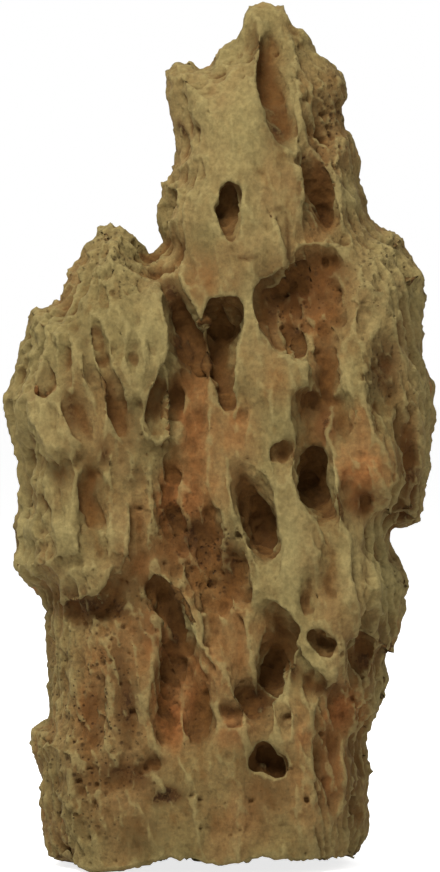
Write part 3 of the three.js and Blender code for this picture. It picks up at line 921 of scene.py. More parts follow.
# The pits of the front. Each station is x, z, half the width and the depth.
FRONT_PITS = (
    # The deep holes: the tower's eye, the pale plate's hole and the corner hole.
    *strokes(
        Edge.SHEER,
        ((3,194.6,2.4,7), (1.8,190.2,2.7,8.5), (2.2,186.6,2,7), (3.3,182.6,0.9,3)),
        ((27.4,67.2,1.4,6), (29.4,65.2,1.8,8), (31,64,1,4)),
        ((12.4,34,0.5,3), (12.8,31,1.1,9), (15.4,28.8,0.9,8)),
        ((12.8,31,1.1,9), (11,29.2,0.7,6)),
        ((-18.6,19.4,0.6,1.6), (-16,19.4,1,3.4), (-13.4,20.4,0.6,1.6)),
    ),
    *strokes(
        Edge.CREASE,
        # The lines between the shoulder's sheets.
        ((-45.8,160,1,1), (-46.2,152,1.3,2), (-45.6,143,1,1)),
        ((-41.2,160,0.8,0.8), (-41.6,150,1.2,1.6), (-41.2,142,0.8,1)),
        ((-36.8,160,1,1), (-35.6,152,1.4,2.4), (-33.4,141.5,1.4,2.6), (-32.2,136.4,1.3,3.5),
         (-29.2,127.6,1,3)),
        ((-38.6,147,0.9,1.2), (-37.8,143.4,1.2,1.8), (-36,138.6,0.9,1)),
        ((-26.2,160,0.9,0.8), (-26.2,148,1.2,1.6), (-24.8,140,1,1.4)),
        ((-19.6,160,0.9,0.8), (-19.8,150,1.1,1.2), (-21.4,142,0.9,1.2)),
        ((-13.8,142.6,1.1,2), (-12.9,137,1.5,4.5), (-12.8,131.6,1.1,2.5)),
        ((-57,110.5,0.9,1), (-53,106,1.2,1.8), (-49,103.6,0.9,1)),
        ((-59,118,1,1), (-52,117.8,1.2,1.8), (-46.5,116.2,1,1.2)),
        ((-38.4,114.6,1.1,2), (-34.4,117.2,1.2,2.5), (-33.2,122.2,1,1.6)),
        ((-48,138.4,1.2,1.5), (-51,141,1.4,2), (-54,140.4,1.2,1)),
        # The line round the tower's rounded plate, and the cracks in its face.
        ((3.4,176,0.6,0.8), (7,176.2,0.8,1.2), (10.6,175.6,0.6,0.6)),
        ((10.6,192,0.7,0.7), (15.6,190.4,0.9,1.4), (18.8,185,1,2.2), (19.7,178,1,2),
         (19.6,172,0.8,1.2)),
        ((23.4,199,0.9,1), (22.8,196,1.1,1.6), (23.6,191,0.9,1)),
        ((20.6,205.6,0.9,1.2), (23.4,204.4,1.2,3), (26.4,204.8,0.9,1.6)),
        ((-12,215.4,0.8,1.2), (-9.8,211.6,1.1,2.4), (-8,209,0.7,1)),
        ((14.6,167.4,1.2,2.4), (11.8,165.4,1.2,3), (12.4,161,1,2.4)),
        ((18.8,155.6,0.8,1.4), (21.8,154,1.2,2.4), (23.4,151,0.8,1.2)),
        ((24.6,156.6,0.7,1.2), (28.4,156.4,1,2), (31.4,155.4,0.7,1)),
        ((-7.4,60.8,0.8,1.5), (-4.2,59,1.1,2.8), (-1.6,55.4,0.9,2.2)),
        ((-11.2,51.2,0.8,1.5), (-8,50.2,1.1,2.8), (-5.4,48.6,0.9,1.5)),
        ((-20.4,50,0.9,1.5), (-19.6,47,1,2.2), (-19.6,42,0.8,1)),
        ((25.6,84,1,1.2), (26,79,1.3,2.4), (25,74,1,1.6)),
        ((24.8,62.8,0.9,1.6), (27,61.2,1.1,2.2), (32.8,64,0.9,1.5)),
        ((-21.8,121.8,0.9,1), (-17.8,120.6,1.2,2.2), (-14.6,121,0.9,1.2)),
        ((-15,117.4,0.8,1.2), (-13.8,114.4,1.2,2.4), (-14.4,110,0.8,1)),
        ((-15.6,103,0.8,1.4), (-13.6,99,1.3,2.6), (-11.6,96.6,0.8,1)),
        ((23,137.4,0.7,1), (26.2,134.8,1.2,2.4), (29.6,136.2,0.8,1.2), (34.4,134.6,0.7,1.4)),
        ((38.2,120.6,0.7,1), (40.6,119.8,0.9,1.6), (43.6,120.4,0.7,1)),
        ((2.4,129.4,0.7,1), (4.8,130.2,1,1.4), (6.6,132,0.7,1)),
        ((-26.4,28,0.7,1.4), (-23.4,28.4,1.1,2.2), (-18.6,29.6,1,2.2)),
        ((-35,25.4,0.8,1.4), (-31.6,22.8,1.1,1.8), (-27.8,24,0.7,1)),
    ),
    *strokes(
        Edge.CRISP,
        # Pits of the tower.
        ((3.3,178.7,1,2.4),), ((1.6,233.4,1,1.5), (3.8,234.6,0.9,1.2)), ((19.4,236.8,0.9,1.2),),
        ((23.3,239.2,1,1.4),), ((35.6,182.3,1.2,2), (33.5,183,0.9,1.5)), ((-44.6,158.8,1,1.5),),
        ((-53.4,156,0.9,1.2),),
        # The granular strip at the edge of the right block.
        ((54.2,176,1.6,2), (55.2,170,2,2.5), (54,163,1.2,1.5)),
        ((37,163.8,0.9,1.4),), ((32.2,173.8,1,1.8),),
        # Pits left of and in the flute.
        ((-24.4,114.8,1.2,2),), ((-18.6,107.4,0.9,1.4),), ((-4.4,103,1,1.4), (-3.4,100.8,0.9,1)),
        ((-6.8,76.6,0.9,2.2),), ((7.2,79,1.2,2.4),), ((-4.3,66.4,1.1,2.2), (-2.6,65.8,0.7,1.2)),
        ((0,60.4,0.8,1.6), (1.8,60.8,0.6,1)), ((15.6,119.8,1,1), (18.2,118.8,1,1.2)),
        ((-45.8,80,0.9,1.6), (-44,82.4,0.9,1.6)), ((-33.4,69.6,0.8,1.4),), ((-27.4,69,0.8,1.4),),
        ((-22.4,66.6,0.8,1.2),),
        # The orange face and the flank.
        ((40,108.6,0.9,1.2), (41.8,106.6,1.2,1.8), (41,104,0.8,1)),
        ((47.8,135,1.2,1.5), (48,131,0.9,1)), ((45,145.8,1.2,1.6),),
        ((47.4,96.6,1.2,1.6), (48.4,92,1,1.2)), ((42.8,62.4,1.1,2),),
        # The foot.
        ((1.5,31.9,0.8,2.4),), ((20,26.2,0.8,1.4),), ((9,56.6,0.8,1.4),), ((27.4,38.2,0.9,1.6),),
        ((-38.6,26.6,1,1.6),), ((-40.4,21.4,1,1.6),), ((-39.4,17.6,0.9,1.4),), ((3.2,7.6,1,1.2),),
    ),
)
FRONT = Relief(FRONT_GUIDES, FRONT_PITS)

BACK_GUIDES = (
    # Crests down the back.
    *guides(
        0.4,
        ((2,246,1.5), (6,230,3), (7,212,4), (6,196,4.5), (3,180,4), (-2,166,2.5)),
        ((-15,228,2.5), (-12,212,3), (-13,196,2), (-15,182,2.5)),
        ((22,240,2), (26,224,3), (30,208,2.5), (34,192,3), (38,180,3.5)),
        ((-32,182,2), (-30,168,4), (-31,150,5), (-35,134,4.5), (-41,116,3.5)),
        ((-50,158,3), (-54,142,4), (-52,126,4.5), (-48,112,3), (-50,98,2.5)),
        ((-18,172,3), (-14,158,3.5), (-12,144,4), (-6,126,4.5), (0,108,4.5), (5,90,5), (12,72,3)),
        ((20,172,3), (22,156,4.5), (20,140,4), (14,124,4.5), (16,106,4), (20,88,3.5)),
        ((41,164,4), (42,146,4.5), (42,128,4), (40,112,3.5), (46,96,3), (50,80,2.5)),
        ((57,160,2.5), (60,144,2.5), (59,126,3)),
        ((-24,100,3), (-22,82,4.5), (-20,64,5), (-16,44,4.5), (-12,22,3.5), (-10,6,2)),
        ((-46,84,3), (-47,64,4), (-45,40,3.5), (-46,16,2)),
        ((26,72,3), (20,56,4), (15,40,4.5), (14,18,3.5), (15,4,2)),
        ((44,66,3), (44,46,3.5), (41,26,3), (40,8,1.5)),
    ),
    # The floors of the hollows between them.
    *guides(
        1.4,
        ((-3,226,-1.5), (-2,214,-3.5), (-5,200,-4), (-7,188,-2.5)),
        ((16,214,-0.5), (20,198,-3), (24,184,-3.5), (28,170,-3)),
        ((12,176,-3), (11,162,-7), (9,150,-7.5), (5,138,-4)),
        ((-44,168,-1), (-43,154,-5), (-41,144,-5), (-40,132,-2)),
        ((-22,158,-2), (-19,142,-6), (-22,126,-7.5), (-26,112,-4)),
        ((30,152,-3), (30,136,-6.5), (32,122,-6), (34,110,-3)),
        ((50,152,-2), (51,138,-5), (50,122,-4)), ((8,116,-2), (8,104,-5), (11,92,-4)),
        ((-36,100,-3), (-37,88,-7), (-33,76,-6), (-32,60,-2)),
        ((-6,84,-2), (-6,68,-7), (-2,52,-6.5), (2,38,-3)),
        ((36,96,-3), (34,82,-7), (36,68,-5)), ((-36,50,-3), (-35,36,-5.5), (-33,22,-3.5)),
        ((30,44,-2), (28,28,-5), (27,16,-3)), ((2,28,-3), (1,16,-3)), ((-57,110,0), (-58,92,0)),
    ),
)
BACK_PITS = (
    *strokes(
        Edge.SHEER,
        ((11,170,2.4,5), (12,163,3.4,10), (10,156,3,9), (8,150,1.4,4)),
        ((-20,140,1.6,5), (-20,133,3,10), (-22,126,2.6,9), (-24,121,1.2,4)),
        ((-42,155,1.4,4), (-42,149,2.6,8), (-40,143,2,6)),
        ((30,138,1.6,5), (30,131,2.8,9), (32,124,2,7)),
        ((-36,92,2,5), (-37,86,3.2,9), (-34,79,2.2,7)), ((-6,70,2,6), (-6,63,3,10), (-4,56,2.4,8)),
        ((35,90,1.8,5), (34,83,3,9), (35,76,2,6)),
        ((6,110,1.4,4), (8,104,2.4,8), (11,97,2.2,8), (13,92,1.2,3)),
        ((-36,43,1.8,4), (-35,37,2.6,7), (-34,31,1.8,5)),
        ((26,33,2,5), (25,27,2.6,7)),
    ),
    *strokes(
        Edge.CRISP,
        ((-3,222,1.4,3), (-2,216,2,5), (-4,209,1.6,4)),
        ((20,200,1.6,4), (22,193,2,6), (24,187,1.4,3)),
        ((52,146,1.6,4), (52,139,2,5), (51,132,1.4,3)), ((-52,122,1.6,3), (-50,115,2,4)),
        ((14,76,1.4,3), (16,71,1.6,4)), ((-10,96,1.6,3), (-9,91,1.8,4)),
        ((44,64,1.6,4), (45,58,1.6,3)), ((-14,28,1.6,3), (-12,22,1.6,3)),
        ((0,24,1.8,4), (1,18,1.4,3)), ((-28,150,1.2,3), (-29,144,1.4,3)),
    ),
)
BACK = Relief(BACK_GUIDES, BACK_PITS)

# Where the front is soft, porous, fluted or rusty, pale or lit by a painted highlight,
# and stained dark or darkened by painted shade.
MELLOW = areas(
    (-42,126,15,10,0.75), (-40,106,16,16,0.75), (-6,94,16,11,0.75), (-17,68,6,12,0.6),
    (0,158,5,8,0.4), (10,48,5,5,0.4), (-24,112,8,12,0.7), (14,218,5,18,0.55), (50,150,9,34,0.7),
    (28,146,14,14,0.5), (10,104,9,16,0.4), (36,84,14,18,0.6), (-8,50,18,20,0.45),
    (-36,40,16,30,0.5), (0,14,50,16,0.6), (36,34,10,24,0.6), (-8,174,8,12,0.5),
)
PORES = areas(
    (-38,40,17,36,1), (-44,16,13,14,0.9), (-30,176,13,12,0.8), (33,216,7,17,0.9),
    (48,172,11,12,0.9), (47,144,6,10,0.8), (-32,74,20,7,0.8), (-3,88,12,12,1), (24,162,13,13,0.7),
    (22,234,5,9,0.5), (33,185,9,6,0.6), (-24,66,9,9,0.6), (10,113,5,6,0.5), (-12,100,9,9,0.7),
    (-12,48,9,14,0.5), (10,46,8,8,0.6), (36,46,7,8,0.4), (12,16,34,12,0.3), (58,130,5,34,0.4),
    (-22,112,5,12,0.5), (42,62,7,9,0.5),
)
FLUTES = areas(
    (-46,145,17,24,1), (-25,150,12,20,0.7), (-44,100,17,20,0.8), (38,84,16,20,0.6),
    (56,130,7,40,0.8), (-2,68,14,20,0.8), (-8,118,10,30,0.5), (38,34,10,24,0.6),
    (24,158,14,16,0.6), (12,10,36,12,0.3), (-36,36,16,36,0.5),
)
RUST = areas(
    (-7,127,6,17,0.6), (-10,126,3,8,0.7), (-12,105,8,10,0.9), (5,126,6,9,0.5), (-2,112,6,10,0.45),
    (-14,174,5,8,0.3), (-6,170,5,8,0.5), (40,115,8,8,1), (31,126,3,6,0.9), (41,126,3.6,7,0.7),
    (26,164,11,13,0.6), (31,146,4,9,0.5), (29,194,3,9,0.7), (-13,46,7,12,1), (-14,58,6,7,0.8),
    (-25,64,7,9,0.5), (-19.4,66,4.6,8,0.9), (35,45,6.5,7,1), (32,28,4,14,0.7), (24,37,3,5,0.7),
    (-4,56,6,8,0.6), (4,39,5,5,0.8), (0,17,26,11,0.18), (22,42,7,8,0.35), (4,68,6,12,0.45),
    (-10,78,4,8,0.4), (-7,93,8,7,0.8), (-20,88,7,8,0.5), (-38,44,4,9,0.5), (-35,56,5,9,0.35),
    (25,18,5,9,0.4), (6,14,5,6,0.45), (-23,103,4,10,0.4), (41,106,4,4,0.9), (-52,62,3,6,0.2),
    (16,140,6,6,0.25), (55,120,3,14,0.3), (12,66,4,8,0.3),
)
# Paler patches: partly pale clay, partly a painted highlight on crests and on faces that the lamps
# light less.
PALE_AND_HIGHLIGHT = areas(
    (0,216,17,20,0.65), (14,245,8,6,0.2), (20.6,225,1.6,14,0.7), (-8,194,8,12,0.5),
    (13,184,7,11,0.5), (38,194,5,6,0.9), (48,170,8,14,0.6), (44,158,5,5,0.7), (56,148,5,14,0.5),
    (60,128,4,24,0.75), (-61,124,4,16,0.6), (57,166,5,14,0.7), (37,142,3,8,0.5),
    (33,110,2,9,1.2,8), (8,164,2.2,7,0.8), (9,150,6,8,0.3), (19,108,3,5,0.3), (20,92,6,16,0.9),
    (38,86,4,14,0.75), (44.6,88,3,12,0.7), (50,85,4.6,11,1), (30,60,6,7,0.5), (-54,128,8,11,0.8),
    (-21,152,5,14,0.7), (-36,148,3,14,0.2), (-52,153,6,8,0.6), (-45,96,5,5,0.8), (-31,96,4,5,0.5),
    (-42,84,6,5,0.4), (-58,94,4,16,1), (-52,113,6,5,0.3), (19,43,4,8,0.6), (-30,178,10,8,0.2),
    (-5.4,161,3,6,0.5), (-14,176,4,4,0.85), (-9,70,1.8,8,1.1,21), (31,8,8,6,0.5),
)
# Darker patches: partly stain, partly painted shade in clefts, gouges, hollows and cracks and under
# lips and rims.
STAIN_AND_SHADE = areas(
    # The tower's gouge and its right slope.
    (13,227,3,16,0.95,10), (16.4,215,3.6,10,0.85,8), (29.6,194,2.8,9,0.95,-8), (34,214,4,14,0.15),
    (19.6,181,0.8,9,0.8,2), (16.6,190,2.6,0.8,0.6,24), (7,176,4.4,0.6,0.8), (23.6,204.6,2.4,0.9,1),
    (23,195,0.9,4,0.6), (-10.6,213,1.2,3,1,30), (-6,172,5,10,0.4), (22,234,3,9,0.25),
    # The cleft, the throat, the slot and the scoop beside it.
    (-12.5,161,3.4,10,1,16), (-9.2,151,4.6,6.4,1.3), (-10,146,6,6,0.5), (-0.5,144,2.4,10,0.75,8),
    (-19,136,3.6,7,0.7,-12), (-13,136,1.4,6,1), (-17,121,4,1.2,0.6),
    # The cave and its drain.
    (22,166,11,9,0.75), (30,172,8,5,0.7), (15,160,3,9,0.8,-14), (21,154,4,3,0.9),
    (30,144,3.4,9,0.6), (26,135.4,4,2.4,0.9), (33,134.6,3,1.6,0.8), (24.6,128,3,7,0.5),
    (31,127,3.4,6,0.8), (41,106,4,4.5,0.7), (47,143,4.5,9,0.8), (55,114,3,14,0.8,6),
    (53,102,5,4,0.8),
    # The shoulder.
    (-40,150,4,7,0.3), (-43,132,2.4,7,0.8,12), (-31.6,132,1.6,9,0.9,14), (-38,108,4,10,0.7),
    (-46,113,4,5,0.5), (-33.6,119,1.8,4,0.8), (-50,142,4,3,0.3), (-52,106,5,1.6,0.5,-35),
    (-24,113,4,4,0.6), (-24,124,6,10,0.4),
    # The ground under the flute, the long pit and the long crest's channel.
    (-7,95,8,6,0.9), (-14,101,3,4,0.7), (3,86,3.6,8,0.8), (-14,88,9,6,0.5), (6,110,3,7,0.45,16),
    (12,98,4,8,0.9,16), (13.4,94,3,4.4,1), (-36,75,15,4,0.9,-6), (-19,81,4,3,0.9),
    (-15.4,74,2.4,8,1.1,20), (-12.4,64,2.8,6,0.9), (-21,68,5,8,0.55), (-27,79,9,5,0.5),
    # The channel under the pale plate, and the hollows around the beak.
    (16.2,64,2.6,9,0.45), (19.6,60,3,6,0.75), (14.6,55,3,5,0.9), (21.4,56.6,2.6,4,0.8),
    (41,60,5,6,0.85), (45,68,5,4,0.6), (29,51,6,2,0.8),
    # The foot.
    (-15,56,5,5,0.8), (-6,42,4,6,0.6), (10.6,47,4,4,1.3), (2.4,44.4,3,1.8,0.9), (34,50,5,2.4,0.6),
    (13,30,7,5,0.9), (-27,46,3.4,10,0.85), (-29,58,3.6,9,0.6), (-37,43,3.6,9,0.55),
    (-27,26,10,4.4,0.8,-6), (-15.6,19.6,6,3.2,1), (-19,29.6,3.4,2,0.8), (-40,24,8,8,0.4),
    (-23,9,8,8,0.5), (5,31,6,6,0.35), (-30,12,20,6,0.35), (14,20,8,7,0.45), (39,26,3,18,0.6),
    (31.6,27,3.4,12,0.55), (-8,20,7,9,0.25), (4,37,4,3,0.35),
)


# ---- From relief to a mesh ----


@dataclass(frozen=True)
class Map:
    """Values on an even grid over the front view."""

    left: float
    bottom: float
    step: float
    values: Array

    def at(self, x: Array, z: Array) -> Array:
        """Read the map between its grid points.

        Args:
            x: Places across.
            z: Places in height.

        Returns:
            The value at each place.
        """
        wide, tall = self.values.shape
        across = np.clip((x - self.left) / self.step, 0, wide - 1.001)
        up = np.clip((z - self.bottom) / self.step, 0, tall - 1.001)
        column, row = across.astype(int), up.astype(int)
        right, over = across - column, up - row
        low = self.values[column, row] * (1 - right) + self.values[column + 1, row] * right
        high = self.values[column, row + 1] * (1 - right) + self.values[column + 1, row + 1] * right
        return low * (1 - over) + high * over


def softened(values: Array, spread: float) -> Array:
    """Smooth a map evenly.

    Args:
        values: The map.
        spread: How far each value spreads, in grid steps.

    Returns:
        The smoothed map.
    """
    reach = int(3 * spread) + 1
    weights = np.exp(-0.5 * (np.arange(-reach, reach + 1) / spread) ** 2)
    weights /= weights.sum()
    for axis in (0, 1):
        padded = np.pad(values, [(reach, reach) if a == axis else (0, 0) for a in (0, 1)], "edge")
        size = values.shape[axis]
        values = sum(weight * np.take(padded, range(start, start + size), axis)
                     for start, weight in enumerate(weights))
    return values


def seen(x: Array, y: Array, z: Array) -> tuple[Array, Array]:
    """Find where places show, from the camera, on an upright sheet through the stone's middle.

    Args:
        x: Places across.
        y: Places in depth.
        z: Places in height.

    Returns:
        Their x and z on the sheet, where the front's relief and colours are laid out.
    """
    nearer = 1 / (1 + y / EYE_DISTANCE)
    rise = z - MIDDLE_HEIGHT + y * math.sin(math.radians(EYE_TILT))
    return x * nearer, MIDDLE_HEIGHT + rise * nearer


@dataclass(frozen=True)
class ShadeShift:
    """How far the front's relief moves to the right and down, against the key lamp's shade.

    The lamp hangs high on the left, so a hollow's shade lies above its floor and to the left.
    The relief moves the other way, so that the shade falls where the colours are dark. It
    moves less on the tower, at the foot and in the upright band around the drain.
    """

    right: float = 0.8
    down: float = 1.5
    shoulder_down: float = 0.9
    shoulder: tuple[float, float] = (-20, -36)
    tower: tuple[float, float] = (205, 160)
    foot: tuple[float, float] = (15, 60)
    foot_share: float = 0.4
    band_middle: float = 14
    band_width: float = 13
    band_loss: float = 0.7

    def at(self, x: Array, z: Array) -> tuple[Array, Array]:
        """Find the move at each place.

        Args:
            x: Places across.
            z: Places in height.

        Returns:
            How far to the right, and how far down.
        """
        amount = smooth_step(*self.tower, z)
        amount = amount * blend(self.foot_share, smooth_step(*self.foot, z))
        band = np.exp(-((x - self.band_middle) / self.band_width) ** 2)
        amount *= 1 - self.band_loss * band
        down = self.down + self.shoulder_down * smooth_step(*self.shoulder, x)
        return self.right * amount, down * amount


@dataclass
class Stone:
    """The stone's surface: relief maps, a body between them, and the grain on that."""

    # The maps, the voxels, their margin, how far off the rest counts as, and the faces kept.
    map_step: float = 0.5
    voxel: float = 0.5
    margin: float = 4.0
    outside: float = 3.0
    faces: int = 198_000

    # The body: how far in from the outline it reaches its full depth, and how round it swells.
    outline_wear: Swells = Swells(0.9, 5, 5)
    front_swell: float = 25.0
    back_swell: float = 30.0
    swell_power: float = 2.3
    relief_rim: float = 7.0
    deepest: float = 0.75

    # The bends that the relief and the colours are read through, a seed for each, and how
    # many grid steps the relief is softened by.
    bend_across: Swells = Swells(0.85, 4.4, 11)
    bend_along: Swells = Swells(1.2, 3.4, 15, start=40)
    front_bend: int = 3
    back_bend: int = 4
    colour_bend: int = 17
    crisp: float = 1.2
    mellow: float = 3.2
    back_mellow: float = 2.4
    shade_shift: ShadeShift = ShadeShift()

    # What wears the front's relief.
    front_patchiness: Swells = Swells(0.2, 9, 12, 3, start=3)
    front_scoops: Scoops = Scoops(1.0, 8, 24, 5)
    least_scoops: float = 0.15
    narrow_scoops: Scoops = Scoops(0.5, 3.6, 18, 21)
    crumbling: Scoops = Scoops(0.7, 4.2, 7, 33)
    floor_scoops: Scoops = Scoops(1.2, 4.5, 16, 15)
    floor_levels: tuple[float, float] = (2, 8)
    front_swells: Swells = Swells(1.0, 15, 24)

    # What wears the back's, and how far the shape wanders there.
    back_scoops: Scoops = Scoops(2.6, 9, 26, 7)
    back_swells: Swells = Swells(1.6, 15, 24, start=9)
    drift_along: Swells = Swells(16, 34, 40, 2, start=5)
    drift_aside: Swells = Swells(9, 30, 36, 2, start=25)
    rolling: Swells = Swells(1.0, 13, 40, 2)
    roll_place: float = 650.0
    roll_along: float = 9.0
    roll_aside: float = 6.0
    drift_start: float = 2.0
    drift_length: float = 26.0

    # The foot: how fast the wave of its edge fades to the back, from where, and how round it is.
    foot_fade: float = 0.02
    foot_front: float = 35.0
    foot_rounding: float = 3.0
    foot_calm: float = 3.0

    # How clearly a point has to face the front or the back to count as facing it.
    facing_gain: float = 1.6
    facing_loss: float = 0.2

    # What is cut into the body, with its share on the front and the back, and near the rim.
    round_scoops: Scoops = Scoops(4.5, 9, 26, 9)
    front_share: float = 0.25
    back_share: float = 0.5
    rim_share: float = 0.52
    rim_depths: tuple[float, float] = (4, 14)
    hollow_seed: int = 47
    hollow_spacing: tuple[float, float, float] = (15, 13, 24)
    hollow_wall: tuple[float, float] = (0.6, 0.1)
    least_hollow: float = 0.4
    side_hollow: float = 6.5
    back_hollow: float = 2.5
    rim_hollow_share: float = 0.4
    rim_growth: float = 0.7
    ridges: Swells = Swells(0.7, 6, 8, 3)
    grit: Swells = Swells(1.0, 2.2, 2.4, 2, seed=29)
    least_grit: float = 0.25
    porous_grit: float = 0.3
    pinholes: tuple[Pinholes, ...] = (
        Pinholes(4.6, 1.5, 1.5, 0.5, 41), Pinholes(2.5, 0.95, 1.0, 0.7, 43),
    )
    unseen_pores: float = 0.45
    pore_swells: Swells = Swells(1.0, 12, 12, 2)
    pore_share: float = 0.6
    box_gap: float = 0.05

    # Faces are thinned more where they face the back.
    thinning_least: float = 0.25
    thinning_facing: tuple[float, float] = (-0.1, 0.5)
    thinning_steps: int = 4
    thinning_pull: float = 0.4

    # Where the patches of the front end, and the colours of the sides and the back.
    front_facing: tuple[float, float] = (0.1, -0.35)
    front_reach: tuple[float, float] = (2, -6)
    hollow_levels: tuple[float, float] = (1, 9)
    blotches: Swells = Swells(1.0, 14, 18)
    hollow_rust: float = 0.35
    rust_levels: tuple[float, float] = (0.1, 0.5)
    soot: Swells = Swells(1.0, 11, 19, start=60, seed=29)
    # How much painted shade darkens the hollows of the sides and the back, by depth.
    hollow_shade: float = 0.5
    soot_levels: tuple[float, float] = (0.15, 0.5)
    soot_cover: float = 0.7
    pale_swells: Swells = Swells(0.8, 18, 24, 3, seed=29)
    paleness: float = 0.3

    # For the finish: the depth that counts as 1, and how often the surface is smoothed, and
    # what counts as 1, for the cavities and the folds.
    full_depth: float = 10.0
    cavity_reading: tuple[int, float] = (8, 0.6)
    fold_reading: tuple[int, float] = (60, 2.0)

    def __post_init__(self) -> None:
        """Take the stone's box from the frame, and draw the maps."""
        low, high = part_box("stone")
        self.low = np.array(low) / MM
        self.high = np.array(high) / MM
        self.columns = np.arange(self.low[0] - self.margin, self.high[0] + self.margin,
                                 self.map_step, dtype=np.float32)
        self.rows = np.arange(-self.margin, self.high[2] + self.margin,
                              self.map_step, dtype=np.float32)
        self._draw_maps()

    def _sheet(self, values: Array) -> Map:
        """Keep values on the stone's grid as a map."""
        left, bottom = float(self.columns[0]), float(self.rows[0])
        return Map(left, bottom, self.map_step, values.astype(np.float32))

    def _swell(self, gap: Array, reach: float) -> Array:
        """Rise from the outline to the full depth over a given reach."""
        share = 1 - np.clip(np.maximum(gap, 0) / reach, 0, 1)
        return (1 - share**self.swell_power) ** (1 / self.swell_power)

    def _bent(self, x: Array, z: Array, seed: int) -> tuple[Array, Array]:
        """Bend places along the grain, so that no edge is drawn clean.

        Args:
            x: Places across.
            z: Places in height.
            seed: Which bend to use.

        Returns:
            The bent x and z.
        """
        flat = np.zeros_like(x)
        swing = x + GRAIN_LEAN * z
        across = replace(self.bend_across, seed=seed).at(swing, flat, z)
        along = replace(self.bend_along, seed=seed).at(swing, flat, z)
        return x + across - GRAIN_LEAN * along, z + along

    def _draw_maps(self) -> None:
        """Draw where the front and the back of the body lie, and their relief."""
        x, z = (part.astype(np.float32)
                for part in np.meshgrid(self.columns, self.rows, indexing="ij"))
        flat = np.zeros_like(x)
        gap = polygon_gap(x, z, OUTLINE)
        gap = gap + self.outline_wear.at(x, flat, z)
        near_edge = np.clip(gap / self.relief_rim, 0, 1)
        outside = np.minimum(gap, 0)
        front_depth = np.interp(z, *np.array(FRONT_DEPTH).T) * self._swell(gap, self.front_swell)
        back_depth = np.interp(z, *np.array(BACK_DEPTH).T) * self._swell(gap, self.back_swell)
        front = self._worn_front(x, z, front_depth) * near_edge
        drawn = self._sheet(softened(BACK.height(x, z), self.back_mellow))
        back = drawn.at(*self._bent(x, z, self.back_bend))
        back -= self.back_scoops.at(x, flat, z)
        back = (back + self.back_swells.at(x, flat, z)) * near_edge
        front_face = front_depth + np.maximum(front, -self.deepest * front_depth)
        back_face = back_depth + np.maximum(back, -self.deepest * back_depth)
        self.front = self._sheet(-front_face - outside)
        self.back = self._sheet(back_face + outside)
        self.outline_gap = self._sheet(gap)
        self.front_relief = self._sheet(front)
        self.back_relief = self._sheet(back)

    def _worn_front(self, x: Array, z: Array, depth: Array) -> Array:
        """Work and wear the front's relief.

        Args:
            x: Places across, on the grid.
            z: Places in height.
            depth: How far the body stands out to the front there.

        Returns:
            How far the relief stands out of the body.
        """
        flat = np.zeros_like(x)
        drawn = FRONT.height(x, z)
        mellow = strongest(MELLOW, x, z)
        drawn = softened(drawn, self.crisp) * (1 - mellow) + softened(drawn, self.mellow) * mellow
        seen_x, seen_z = seen(x, -depth, z)
        right, down = self.shade_shift.at(x, z)
        places = self._bent(seen_x - right, seen_z + down, self.front_bend)
        worn = self._sheet(drawn).at(*places)
        worn *= 1 + self.front_patchiness.at(x, flat, z)
        scooped = self.least_scoops + strongest(FLUTES, seen_x, seen_z)
        worn -= self.front_scoops.at(x, flat, z, scooped)
        worn -= self.narrow_scoops.at(x, flat, z)
        worn -= self.crumbling.at(x, flat, z, strongest(PORES, seen_x, seen_z))
        worn -= self.floor_scoops.at(x, flat, z, smooth_step(*self.floor_levels, -worn))
        return worn + self.front_swells.at(x, flat, z)

    def _drifts(self, x: Array, y: Array, z: Array) -> tuple[list[Array], list[Array]]:
        """Let the shape wander behind the outline, so that no ledge runs straight back.

        Args:
            x: Places across, on a grid of x and z.
            y: The depths, in order.
            z: The heights, in order.

        Returns:
            For each depth, how far the back's relief is read aside, and how far up.
        """
        heights = np.broadcast_to(z[None, :], x.shape)
        along = self.drift_along.at(x, np.zeros_like(x), heights)
        aside = self.drift_aside.at(x, np.zeros_like(x), heights)
        depths, heights = np.meshgrid(y, z, indexing="ij")
        rolling = self.rolling.at(np.full_like(depths, self.roll_place), depths, heights)
        growing = np.clip(y - self.drift_start, 0, self.drift_length) / self.drift_length
        drift_x, drift_z = [], []
        for share, roll in zip(growing, rolling):
            drift_x.append(share * (aside + self.roll_aside * roll[None, ::-1]))
            drift_z.append(share * (along + self.roll_along * roll[None, :]))
        return drift_x, drift_z

    def _mesh_body(self) -> tuple[Array, Array]:
        """Fill a block of voxels with how far each is outside the body, and mesh it.

        Returns:
            The points, in millimetres, and the quads.
        """
        low = np.array((self.low[0], self.low[1], 0.0)) - self.margin
        x, y, z = (np.arange(start, end, self.voxel, dtype=np.float32)
                   for start, end in zip(low, self.high + self.margin))
        grid_x, grid_z = np.meshgrid(x, z, indexing="ij")
        front = self.front.at(grid_x, grid_z)
        gap = self.outline_gap.at(grid_x, grid_z)
        block = np.empty((len(x), len(y), len(z)), np.float32)
        drift_x, drift_z = self._drifts(grid_x, y, z)
        for number, depth in enumerate(y):
            back = self.back.at(grid_x + drift_x[number], grid_z + drift_z[number])
            block[:, number] = np.maximum(np.maximum(front - depth, depth - back), -gap)
        places, rises = np.array(UNDERSIDE).T
        arch = np.interp(x, places, rises)[:, None]
        arch = np.maximum(arch - self.foot_fade * (y[None, :] + self.foot_front), 0)
        under = arch[:, :, None] - z[None, None, :]
        meeting = np.maximum(self.foot_rounding - np.abs(block - under), 0)
        block = np.maximum(block, under) + meeting**2 / (4 * self.foot_rounding)
        volume = openvdb.FloatGrid(self.outside)
        volume.copyFromArray(block.astype(np.float32))
        points, quads = volume.convertToQuads(isovalue=0.0)
        return points * self.voxel + low, quads.astype(np.int64)

